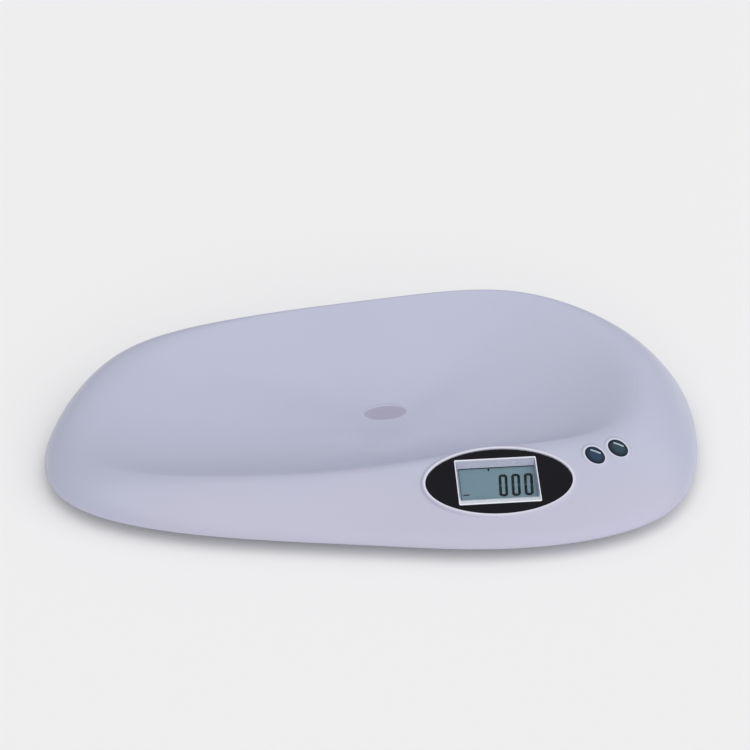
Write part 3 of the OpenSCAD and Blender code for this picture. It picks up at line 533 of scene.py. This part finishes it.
def frame_silver():
    """Silver-white paint, with a painted highlight on the window's upper edge and another on its
    lower bevel.
    """
    m = Shader("frame_silver", (0.5, 0.5, 0.6), 0.25, Metallic=0.1)
    dull, light, painted_highlight = (0.35, 0.37, 0.48), (0.39, 0.41, 0.52), (0.88, 0.91, 0.97)
    bevel_end, bevel_start = -16.5, -13.5
    edge_low, edge_share = -0.6, 0.8
    at = m.parts(m.local(WINDOW))
    # The lower bevel and the upper edge both get a painted highlight colour.
    bevel = m.ramp(at["Y"], 1, 0, bevel_end, bevel_start)
    edge = m.ramp(at["Z"], 0, edge_share, edge_low, 0.0)
    bright = m.calc("MAXIMUM", bevel, edge)
    tone = m.mix(m.ramp(m.noise(300, 3), 0, 1), dull, light)
    m.color(m.mix(bright, tone, painted_highlight))
    m.rough(m.ramp(m.noise(120, 3), 0.2, 0.32))
    return m.bump((m.noise(FINE_SCALE, 2), 0.003)).material


def key_gloss(name, side, middle, rim_shade):
    """Glossy dark key with painted shade darkening its rim against its lighter crown."""
    crown, edge = 0.55, 0.95   # shares of the half axes between which the colour changes
    darker, lighter = 0.88, 1.12
    m = Shader(name, middle, 0.2, Specular_IOR_Level=0.2)
    share = m.length(m.local(key_frame(side)), (2 / KEY_L, 2 / KEY_W, 0))
    tone = m.mix(m.ramp(m.noise(90, 3), 0, 1), shade(middle, darker), shade(middle, lighter))
    # The rim colour is painted shade on the key's rounded edge.
    m.color(m.mix(m.ramp(share, 0, 1, crown, edge), tone, rim_shade))
    m.rough(m.ramp(m.noise(200, 3), 0.16, 0.26))
    return m.bump((m.noise(FINE_SCALE, 2), 0.004)).material


def mark_print():
    """Mauve oval printed on the plate, which is of the tray's colour."""
    plate, dull, light = (0.483, 0.498, 0.627), (0.380, 0.360, 0.472), (0.400, 0.376, 0.492)
    print_end, plate_start = 0.96, 1.02   # shares of the print's half axes
    m = Shader("mark_print", (0.39, 0.37, 0.48), 0.4)
    place = MARK @ Matrix.Translation((0, -PRINT_DOWN, 0))
    place = place @ Matrix.Rotation(math.radians(PRINT_TURN), 4, "Z")
    share = m.length(m.local(place), (2 / PRINT_L, 2 / PRINT_W, 0))
    tone = m.mix(m.ramp(m.noise(120, 3), 0, 1), dull, light)
    m.color(m.mix(m.ramp(share, 0, 1, print_end, plate_start), tone, plate))
    m.rough(m.ramp(m.noise(GLOSS_SCALE, 3), 0.3, 0.42))
    return m.bump((m.noise(GRAIN_SCALE, 2), GRAIN_DEPTH)).material


TRAY_PLASTIC = tray_plastic()
BASE_PLASTIC = moulded("base_plastic", (0.44, 0.44, 0.52), 0.5, 0.03, depth=0.02)
WHITE_PLASTIC = moulded("white_plastic", (0.66, 0.66, 0.70), 0.42, 0.02)
MARK_PRINT = mark_print()
BEZEL_BLACK = moulded("bezel_black", (0.006, 0.006, 0.009), 0.28, 0.1, depth=0.003,
                      Specular_IOR_Level=0.08)
FRAME_SILVER_AND_HIGHLIGHTS = frame_silver()
# Each key's second colour is the painted shade of its rim.
KEY_SLATE = {-1: key_gloss("key_slate", -1, (0.019, 0.039, 0.080), (0.002, 0.012, 0.028)),
             1: key_gloss("key_green", 1, (0.019, 0.046, 0.068), (0.002, 0.014, 0.024))}
PAD_RUBBER = moulded("pad_rubber", (0.035, 0.035, 0.038), 0.75, 0.15, grain=700, depth=0.05)
LCD_GREY = moulded("lcd_grey", (0.205, 0.325, 0.395), 0.35, 0.05, depth=0.001,
                   Specular_IOR_Level=0.2)
# Dark print of the LCD, also used for its painted shadow lines.
LCD_INK_AND_SHADOW = moulded("lcd_ink_and_painted_shadow", (0.002, 0.008, 0.010), 0.5, 0.1, depth=0.001,
                  Specular_IOR_Level=0.1)
KEY_STROKE = moulded("key_stroke", (0.42, 0.48, 0.53), 0.5, 0.03)
CLEAR_LENS = Shader("clear_lens", (0.05, 0.06, 0.06), 0.04, Alpha=0.08).material

PLAIN = {
    "base_shell": BASE_PLASTIC, "battery_door": BASE_PLASTIC,
    "lcd_carrier": WHITE_PLASTIC, "switch_plunger_left": WHITE_PLASTIC,
    "switch_plunger_right": WHITE_PLASTIC,
    "zebra_strips": moulded("zebra_rubber", (0.07, 0.07, 0.085), 0.7, 0.1),
    "main_board": moulded("board_green", (0.028, 0.14, 0.06), 0.35, 0.1),
    "board_chips": moulded("chip_black", (0.02, 0.02, 0.022), 0.5, 0.1),
    "board_plugs": moulded("plug_ivory", (0.75, 0.72, 0.62), 0.45, 0.03),
    "battery": moulded("battery_case", (0.04, 0.042, 0.05), 0.3, 0.1),
    "battery_snap": moulded("snap_black", (0.015, 0.015, 0.017), 0.5, 0.1),
    "battery_leads": moulded("lead_red", (0.36, 0.03, 0.03), 0.45, 0.05),
}
ZINC = metal("zinc_steel", (0.55, 0.56, 0.58), 0.32)
CELL_STEEL = metal("cell_steel", (0.42, 0.43, 0.45), 0.36)
for screws in ("case_screws", "board_screws", "key_board_screws", "retainer_screws"):
    PLAIN[screws] = ZINC
PLAIN["switch_bodies"] = PLAIN["board_chips"]
PLAIN["key_board"] = PLAIN["main_board"]
for corner in ("front_left", "front_right", "rear_right", "rear_left"):
    PLAIN["foot_pad_" + corner] = PAD_RUBBER
    PLAIN["foot_cup_" + corner] = WHITE_PLASTIC
    PLAIN["cell_retainer_" + corner] = WHITE_PLASTIC
    PLAIN["load_cell_" + corner] = CELL_STEEL
    PLAIN["cell_lead_" + corner] = PLAIN["battery_leads"]


# ---- Tray -------------------------------------------------------------------

# Points of a ring, rings of the flank and rings of the lying surface.
OUTER_POINTS, OUTER_FLANK, OUTER_PAN = 48 * KNOTS, 44, 64
INNER_POINTS, INNER_FLANK, INNER_PAN = 16 * KNOTS, 16, 24
INNER_START = 4   # steps of the inner flank that its straight lower end takes up
SOFT_EDGE = ((1.0, 0), (0.5, 0.14), (0.14, 0.5))   # inset and rise of the lower edge's rings
# The core breaks the wall's inner lower edge by CORE_OVER and starts CORE_LOW under it.
CORE_OVER, CORE_LOW, CORE_CORNER = 0.6, 2, 0.01


def crowd(count):
    """Steps from 0 to 1 that crowd at both ends."""
    return (1 - np.cos(np.pi * np.arange(count + 1) / count)) / 2


def crowd_start(count):
    """Steps above 0 and below 1 that crowd at 0."""
    return 1 - np.cos(np.pi / 2 * np.arange(1, count) / count)


def turn_round(points):
    """Knot values of evenly spaced sections."""
    return np.arange(points) * KNOTS / points


def tray_form():
    """Solid under the tray's top surface, with a soft lower edge."""
    t = turn_round(OUTER_POINTS)
    section = sections(t, SHOWN)
    lower = [np.column_stack([edge_in(t, inset), np.full(len(t), LIP_Z + rise)])
             for inset, rise in SOFT_EDGE]
    flank = [skin(section, s) for s in crowd(OUTER_FLANK)[1:] - 1]
    pan = [skin(section, s) for s in crowd_start(OUTER_PAN)]
    rings = level_middle(flank + pan)
    return closed_skin("tray", lower + rings, [*LOW_POINT, PAN_Z])


def level_middle(rings):
    """Near the lowest point the sections meet: there the surface becomes one polynomial."""
    reach, fit_from, fit_to, whole = 42.0, 0.4, 1.3, 0.35
    points = np.concatenate(rings)
    x, y = points[:, 0] - LOW_POINT[0], points[:, 1] - LOW_POINT[1]
    far = np.hypot(x, y)
    terms = np.stack([x * x, x * y, y * y, x**3, x * x * y, x * y * y, y**3], -1)
    near = (far > fit_from * reach) & (far < fit_to * reach)
    fit = np.linalg.lstsq(terms[near], points[near, 2] - PAN_Z, rcond=None)[0]
    share = np.clip((far / reach - whole) / (1 - whole), 0, 1)
    share = share * share * (3 - 2 * share)
    points[:, 2] = points[:, 2] * share + (PAN_Z + terms @ fit) * (1 - share)
    return list(points.reshape(len(rings), -1, 3))


def tray_core():
    """Space under the tray's wall, open downwards."""
    t = turn_round(INNER_POINTS)
    section = sections(t, SHOWN, inner=True)
    edge = [np.column_stack([edge_in(t, WALL - over), np.full(len(t), LIP_Z + rise)])
            for over, rise in ((CORE_OVER, -CORE_LOW), (CORE_OVER, -CORE_CORNER), (0, CORE_OVER))]
    flank = [skin(section, s) for s in crowd(INNER_FLANK)[INNER_START:] - 1]
    pan = [skin(section, s) for s in crowd_start(INNER_PAN)]
    return closed_skin("core", edge + flank + pan, [*LOW_POINT, PAN_Z - WALL])


class Height:
    """Height of a surface over a local frame's plane."""

    def __init__(self, obj):
        points = [v.co / MM for v in obj.data.vertices]
        self.tree = BVHTree.FromPolygons(points, [p.vertices for p in obj.data.polygons])

    def over(self, ring, place):
        """Heights at the points of a ring."""
        start = 40.0   # above every part of the surface
        axis = -place.to_3x3().col[2]
        back = place.inverted()
        heights = []
        for x, y, _ in ring:
            hit = self.tree.ray_cast(place @ Vector((x, y, start)), axis)[0]
            heights.append((back @ hit).z)
        return np.array(heights)


BLEND_SINK = 0.02   # a rim ends this far under the tray's skin
RIM_SOFT, RIM_ROOT = 0.4, 0.7 * WALL   # rounding of its inner edge, and its outer foot
LIP_FLAT, LIP_BLEND, KEY_BLEND = 1.5, 3.0, 2.2
LIP_POINTS, KEY_RIM_POINTS = 128, 72


def rim(a, b, place, height, inside, lip, flat, blend, n):
    """Moulded rim round an oval seat, run smoothly into the tray's skin.

    inside lists (distance, height) points of the seat below the rim's inner edge, lip is
    the rim's height, flat and blend are the widths of its top and of its outer slope.
    """
    soft = min(RIM_SOFT, flat / 2)
    arc = np.radians([0, 30, 60, 90])
    rows = [(d, np.full(n, h)) for d, h in inside]
    rows += [(soft * (1 - math.cos(q)), np.full(n, lip - soft * (1 - math.sin(q)))) for q in arc]
    for u in np.linspace(0, 1, 9):
        d = flat + blend * u
        skin_z = height.over(oval(a, b, n=n, out=d), place)
        step = u * u * (3 - 2 * u)
        rows.append((d, lip + (skin_z - BLEND_SINK - lip) * step))
    outer = rows[-1]
    rows.append((outer[0], outer[1] - RIM_ROOT))
    rings = []
    for d, h in rows:
        ring = oval(a, b, n=n, out=d)
        ring[:, 2] = h
        rings.append(put(ring, place))
    return hoop("rim", rings[::-1])


def prism(ring, low, high, place):
    """Upright solid on a ring, in a local frame."""
    rings = []
    for z in (low, high):
        level = ring.copy()
        level[:, 2] = z
        rings.append(put(level, place))
    return closed_skin("cut", rings)


def make_tray():
    """The tray with its seats; returns the height of its skin before they are cut."""
    tray = tray_form()
    height = Height(tray)
    boolean(tray, tray_core(), "DIFFERENCE")
    bezel = (BEZEL_L / 2 + FIT, BEZEL_W / 2 + FIT)
    key = (KEY_L / 2 + SLIP, KEY_W / 2 + SLIP)
    low, high, mark_high = -10, 20, 5   # the cuts' ends under and over the skin
    margin = 0.25                       # by which each rim overlaps what is left of the skin
    ledge_t = 0.6 * WALL
    ring = oval(*bezel, n=LIP_POINTS, out=LIP_FLAT + LIP_BLEND - margin)
    boolean(tray, prism(ring, low, high, DISPLAY), "DIFFERENCE")
    for side in (-1, 1):
        ring = oval(*key, n=KEY_RIM_POINTS, out=KEY_GUIDE_W + KEY_BLEND - margin)
        boolean(tray, prism(ring, low, high, key_frame(side)), "DIFFERENCE")
    ring = oval(MARK_L / 2, MARK_W / 2, out=MARK_GAP)
    boolean(tray, prism(ring, -MARK_T, mark_high, MARK), "DIFFERENCE")
    seat = [(-LEDGE, -BEZEL_T - ledge_t), (-LEDGE, -BEZEL_T), (0, -BEZEL_T)]
    boolean(tray, rim(*bezel, DISPLAY, height, seat, LIP_H, LIP_FLAT, LIP_BLEND, LIP_POINTS),
            "UNION")
    for side in (-1, 1):
        guide = [(KEY_GUIDE_W, KEY_GUIDE_Z), (0, KEY_GUIDE_Z)]
        boolean(tray, rim(*key, key_frame(side), height, guide, KEY_RIM_H, KEY_GUIDE_W, KEY_BLEND,
                          KEY_RIM_POINTS), "UNION")
    finish_piece(tray, TRAY_PLASTIC, "tray_shell", degrees=40)
    return height


def make_mark(height):
    """Flush oval plate that follows the lying surface."""
    soft = 0.08
    corner = soft * 0.3
    rings = []
    for inset, drop in ((0, None), (0, soft), (corner, corner), (soft, 0)):
        rings.append(mark_ring(height, inset, drop))
    for k in np.linspace(0.9, 0.1, 9):
        ring = oval(MARK_L / 2 * k, MARK_W / 2 * k)
        ring[:, 2] = height.over(ring, MARK)
        rings.append(put(ring, MARK))
    mark = closed_skin("mark_plate", rings)
    finish_piece(mark, MARK_PRINT, "tray_mark")


def mark_ring(height, inset, drop):
    """Ring of the plate's edge under the lying surface, or at its underside."""
    ring = oval(MARK_L / 2, MARK_W / 2, out=-inset)
    ring[:, 2] = -MARK_T if drop is None else height.over(ring, MARK) - drop
    return put(ring, MARK)


# ---- Display ----------------------------------------------------------------

WINDOW_CORNER, LENS_CORNER = 1.0, 0.8


def make_bezel():
    """Oval plate with a soft edge and a low crown, open for the window."""
    a, b, n = BEZEL_L / 2, BEZEL_W / 2, 160
    soft, crown, reach = 0.8, 0.35, 10
    rings = [oval(a, b, -BEZEL_T, n)]
    for q in np.radians([0, 15, 30, 45, 60, 75, 90]):
        rings.append(oval(a, b, -crown - soft * (1 - math.sin(q)), n, out=-soft * (1 - math.cos(q))))
    for k in np.linspace(0.97, 0.05, 24):
        rings.append(oval((a - soft) * k, (b - soft) * k, -crown * k * k, n))
    bezel = closed_skin("bezel_plate", [put(r, DISPLAY) for r in rings])
    hole = round_rect(WINDOW_L + 2 * FIT, WINDOW_W + 2 * FIT, WINDOW_CORNER)
    boolean(bezel, prism(hole, -reach, reach, WINDOW), "DIFFERENCE")
    finish_piece(bezel, BEZEL_BLACK, "display_bezel", degrees=30)


def make_window_frame():
    """Frame with a soft outer edge, whose bevel runs down to the lens."""
    top, soft, edge_drop = 0.2, 0.3, 0.16
    lens_l, lens_w = LENS_L + FIT, LENS_W + FIT
    low = -WINDOW_DEEP - LENS_T
    inner = (WINDOW_L - 2 * WINDOW_EDGE, WINDOW_W - 2 * WINDOW_EDGE)
    rings = [round_rect(WINDOW_L, WINDOW_W, WINDOW_CORNER, z) for z in (low, top - soft)]
    for q in np.radians([30, 60, 90]):
        cut, z = 2 * soft * (1 - math.cos(q)), top - soft * (1 - math.sin(q))
        rings.append(round_rect(WINDOW_L - cut, WINDOW_W - cut, WINDOW_CORNER, z))
    for k, drop in ((0.0, 0.0), (0.02, 0.05), (0.05, edge_drop)):
        rings.append(bevel_ring(inner, k, top - drop))
    for k in np.linspace(0.1, 1.0, 8):
        z = top - edge_drop - (WINDOW_DEEP + top - edge_drop) * k
        rings.append(bevel_ring(inner, k, z))
    for z in (-WINDOW_DEEP, low):
        rings.append(round_rect(lens_l, lens_w, LENS_CORNER, z, VIEW_X, VIEW_Y))
    window = hoop("window_bevel", [put(r, WINDOW) for r in rings])
    finish_piece(window, FRAME_SILVER_AND_HIGHLIGHTS, "window_frame", degrees=25)


def bevel_ring(inner, k, z):
    """Ring on the window's bevel, from its top edge (0) to the lens (1)."""
    top_corner, less = 0.8, 0.4   # rounding of its corners, and how much is lost on the way
    l = inner[0] + (VIEW_L - inner[0]) * k
    w = inner[1] + (VIEW_W - inner[1]) * k
    return round_rect(l, w, top_corner - less * k, z, VIEW_X * k, VIEW_Y * k)


def make_lens():
    """Clear plate with a soft upper edge."""
    l, w, soft, top_corner = LENS_L, LENS_W, 0.15, 0.7
    rings = [round_rect(l, w, LENS_CORNER, -WINDOW_DEEP - z, VIEW_X, VIEW_Y) for z in (LENS_T, soft)]
    rings.append(round_rect(l - 2 * soft, w - 2 * soft, top_corner, -WINDOW_DEEP, VIEW_X, VIEW_Y))
    lens = closed_skin("lens_plate", [put(r, WINDOW) for r in rings])
    finish_piece(lens, CLEAR_LENS, "window_lens")


DIGIT_L, DIGIT_W, DIGIT_STROKE, DIGIT_GAP = 21.0, 7.2, 2.3, 0.3
DIGIT_CORNER, DIGIT_JOINT, DIGIT_SLANT = 1.8, 0.02, 0.07
DIGIT_X, DIGIT_Y, DIGIT_PITCH, DIGITS = 3.7, -0.8, 10.3, 3
LCD_CORNER = 0.6
INK_LOW, INK_HIGH = 0.05, 0.12   # underside and top over the glass of the print and of the painted shadow lines
TICK = np.array([(-7.8, 16.0), (-6.6, 13.0), (-5.4, 16.0)])
# Flat bars by two corners: x, y, x, y.
DASH = (-29.5, -8.7, -24.4, -7.7)
# Dark lines along the glass's top and left edges: painted shadow of the frame's edge.
PAINTED_SHADOW_LINES = ((-31.8, 16.5, 30.6, 17.15), (-31.8, -14, -31.0, 16.5))


def zero_digit():
    """The six bars of a seven-bar zero about its middle, mitred and with cut corners."""
    l, w, t, c = DIGIT_L / 2, DIGIT_W / 2, DIGIT_STROKE, DIGIT_CORNER
    gap, joint, cut = DIGIT_GAP / 2, DIGIT_JOINT, 0.2
    end = [(-w + c / 2 + joint, l - c / 2), (-w + t + joint, l - t), (w - t - joint, l - t),
           (w - c / 2 - joint, l - c / 2), (w - c, l), (-w + c, l)]
    side = [(-w, gap), (-w + t * (1 - cut), gap), (-w + t, gap + t * cut),
            (-w + t, l - t - joint), (-w + c / 2, l - c / 2 - joint), (-w, l - c)]
    bars = [[(x, y * up) for x, y in end] for up in (1, -1)]
    bars += [[(x * turn, y * up) for x, y in side] for turn in (1, -1) for up in (1, -1)]
    return [np.array(bar) for bar in bars]


def flat_bar(x0, y0, x1, y1):
    return np.array([(x0, y0), (x1, y0), (x1, y1), (x0, y1)])


def make_lcd():
    """Glass and the dark marks on it: printed digits, tick and dash, and painted shadow lines along
    its top and left edges.
    """
    top = -WINDOW_DEEP - LENS_T - SLIP
    rings = [round_rect(LENS_L, LENS_W, LCD_CORNER, z, VIEW_X, VIEW_Y) for z in (top - LCD_T, top)]
    glass = closed_skin("lcd_plate", [put(r, WINDOW) for r in rings])
    finish_piece(glass, LCD_GREY, "lcd_glass")
    bars = []
    for k in range(DIGITS):
        middle = np.array([DIGIT_X + k * DIGIT_PITCH, DIGIT_Y])
        bars += [bar + middle + bar[:, 1:] * (DIGIT_SLANT, 0) for bar in zero_digit()]
    bars += [TICK, flat_bar(*DASH)]
    # Painted shadow along the frame's top and left edges.
    bars += [flat_bar(*line) for line in PAINTED_SHADOW_LINES]
    points, faces = [], []
    for bar in bars:
        base, n = len(points), len(bar)
        points += [(*p, z) for z in (top + INK_LOW, top + INK_HIGH) for p in bar]
        faces += [tuple(base + i for i in range(n)), tuple(base + n + i for i in range(n))]
        faces += [(base + i, base + (i + 1) % n, base + n + (i + 1) % n, base + n + i)
                  for i in range(n)]
    digits = make_object("lcd_marks_and_painted_shadow", put(points, DISPLAY), faces)
    turn_outwards(digits)
    finish_piece(digits, LCD_INK_AND_SHADOW, degrees=20)


# ---- Keys -------------------------------------------------------------------

# By how much the crown is smaller than the key, and its own height.
KEY_EDGE = KEY_SOFT * (1 - math.cos(math.radians(KEY_BEND)))
KEY_CROWN = KEY_DOME + KEY_SOFT * (1 - math.sin(math.radians(KEY_BEND)))
CROWN_POWER = 2.2
STROKE_X, STROKE_Y, STROKE_L, STROKE_W, STROKE_TURN = -1.7, 2.0, 9.0, 1.5, 26
STROKE_SINK, STROKE_RISE = 0.08, 0.03   # its underside and top, from the key's crown


def key_top(k):
    """Height of a key's crown at the share k of its half axes."""
    return KEY_PROUD - KEY_CROWN * np.asarray(k) ** CROWN_POWER


def make_key(side, name):
    """Stem, flange below the guide, upright side, then the crown."""
    place = key_frame(side)
    a, b, n = KEY_L / 2, KEY_W / 2, 96
    stem = KEY_STEM_D / 2
    flange_z = KEY_GUIDE_Z - SLIP - FLANGE_T
    side_top = KEY_PROUD - KEY_DOME - KEY_SOFT
    rings = [oval(stem, stem, z, n) for z in (flange_z - KEY_STEM_H, flange_z)]
    rings += [oval(a + KEY_FLANGE, b + KEY_FLANGE, z, n) for z in (flange_z, flange_z + FLANGE_T)]
    rings.append(oval(a, b, flange_z + FLANGE_T, n))
    for q in np.radians(np.linspace(0, KEY_BEND, 7)):
        inset = KEY_SOFT * (1 - math.cos(q))
        rings.append(oval(a - inset, b - inset, side_top + KEY_SOFT * math.sin(q), n))
    for k in np.linspace(0.96, 0.04, 20):
        rings.append(oval((a - KEY_EDGE) * k, (b - KEY_EDGE) * k, key_top(k), n))
    apex = put([[0, 0, KEY_PROUD]], place)[0]
    key = closed_skin(name + "_cap", [put(r, place) for r in rings], apex)
    finish_piece(key, KEY_SLATE[side], name, name, degrees=45)
    make_stroke(name, place)


def make_stroke(body, place):
    """Plain light stroke with round ends that follows the key's crown."""
    steps, end = 24, np.radians(np.linspace(75, 0, 5))
    r = STROKE_W / 2
    along = np.linspace(-1, 1, steps + 1) * (STROKE_L - STROKE_W) / 2
    along = np.concatenate([along[0] - r * np.sin(end), along, along[-1] + r * np.sin(end[::-1])])
    half = np.concatenate([r * np.cos(end), np.full(steps + 1, r), r * np.cos(end[::-1])])
    # The outline runs along one side and back along the other.
    along, half = np.concatenate([along, along[::-1]]), np.concatenate([-half, half[::-1]])
    c, s = math.cos(math.radians(STROKE_TURN)), math.sin(math.radians(STROKE_TURN))
    x, y = STROKE_X + c * along - s * half, STROKE_Y + s * along + c * half
    crown = key_top(np.hypot(x / (KEY_L / 2 - KEY_EDGE), y / (KEY_W / 2 - KEY_EDGE)))
    points = np.concatenate([put(np.column_stack([x, y, crown + lift]), place)
                             for lift in (-STROKE_SINK, STROKE_RISE)])
    n = len(along) // 2
    faces = skin_faces(2, 2 * n)
    for low, flip in ((0, -1), (2 * n, 1)):
        for i in range(n - 1):
            faces.append((low + i, low + i + 1, low + 2 * n - 2 - i, low + 2 * n - 1 - i)[::flip])
    stroke = make_object(body + "_print", points, faces)
    finish_piece(stroke, KEY_STROKE, body=body, degrees=30)


# ---- Build ------------------------------------------------------------------

PLAIN_SMOOTH = 30

for node, material in PLAIN.items():
    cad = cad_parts[node]
    cad.data.materials.clear()
    cad.data.materials.append(material)
    smooth(cad, PLAIN_SMOOTH)

surface = make_tray()
make_mark(surface)
make_bezel()
make_window_frame()
make_lens()
make_lcd()
make_key(-1, "key_left")
make_key(1, "key_right")

# ---- Floor, light and camera ------------------------------------------------

FLOOR_HALF = 30000
WORLD_LIGHT, BACKDROP = 0.45, 0.86   # strengths of the world as light and as the camera sees it
LIGHT_AZIMUTH, LIGHT_ELEVATION, LIGHT_SPREAD, LIGHT_STRENGTH = 30, 55, 120, 1.86
CAMERA_AZIMUTH, CAMERA_ELEVATION, CAMERA_DISTANCE = -4.8, 36, 1800
CAMERA_TARGET = (6.1, 67.8, 35)
FOCAL_PIXELS, IMAGE_PIXELS, SENSOR = 2090, 750, 36
FAR_CLIP = 100   # metres


def way_to(azimuth, elevation):
    """Direction from the part, with azimuth 0 in front of it and 90 on its right."""
    a, e = math.radians(azimuth), math.radians(elevation)
    return Vector((math.sin(a) * math.cos(e), -math.cos(a) * math.cos(e), math.sin(e)))


def make_floor():
    corners = [(x * FLOOR_HALF, y * FLOOR_HALF, 0) for x, y in ((-1, -1), (1, -1), (1, 1), (-1, 1))]
    floor = make_object("floor", corners, [(0, 1, 2, 3)])
    floor.data.materials.append(Shader("floor_white", (0.93, 0.93, 0.93), 0.9).material)


def make_light(name, azimuth, elevation, spread, strength):
    """Wide even light from one side, as a large softbox far away gives it."""
    way = way_to(azimuth, elevation)
    lamp = bpy.data.lights.new(name, "SUN")
    lamp.angle, lamp.energy = math.radians(spread), strength
    obj = bpy.data.objects.new(name, lamp)
    obj.location = way
    obj.rotation_euler = way.to_track_quat("Z", "Y").to_euler()
    bpy.context.scene.collection.objects.link(obj)


def make_world():
    world = bpy.data.worlds.new("studio")
    world.use_nodes = True
    nodes, links = world.node_tree.nodes, world.node_tree.links
    back = nodes["Background"]
    back.inputs["Color"].default_value = (0.98, 0.98, 1.0, 1)
    # The camera sees the backdrop as pale as the floor.
    seen = nodes.new("ShaderNodeMapRange")
    seen.inputs["To Min"].default_value = WORLD_LIGHT
    seen.inputs["To Max"].default_value = BACKDROP
    links.new(nodes.new("ShaderNodeLightPath").outputs["Is Camera Ray"], seen.inputs["Value"])
    links.new(seen.outputs["Result"], back.inputs["Strength"])
    bpy.context.scene.world = world


def make_camera():
    back = way_to(CAMERA_AZIMUTH, CAMERA_ELEVATION)
    data = bpy.data.cameras.new("camera")
    data.sensor_width = SENSOR
    data.lens = SENSOR * FOCAL_PIXELS / IMAGE_PIXELS
    data.clip_end = FAR_CLIP
    camera = bpy.data.objects.new("camera", data)
    camera.location = (Vector(CAMERA_TARGET) + back * CAMERA_DISTANCE) * MM
    camera.rotation_euler = back.to_track_quat("Z", "Y").to_euler()
    bpy.context.scene.collection.objects.link(camera)
    bpy.context.scene.camera = camera


make_floor()
make_world()
make_light("softbox", LIGHT_AZIMUTH, LIGHT_ELEVATION, LIGHT_SPREAD, LIGHT_STRENGTH)
make_camera()
bpy.context.scene.view_settings.view_transform = "Standard"
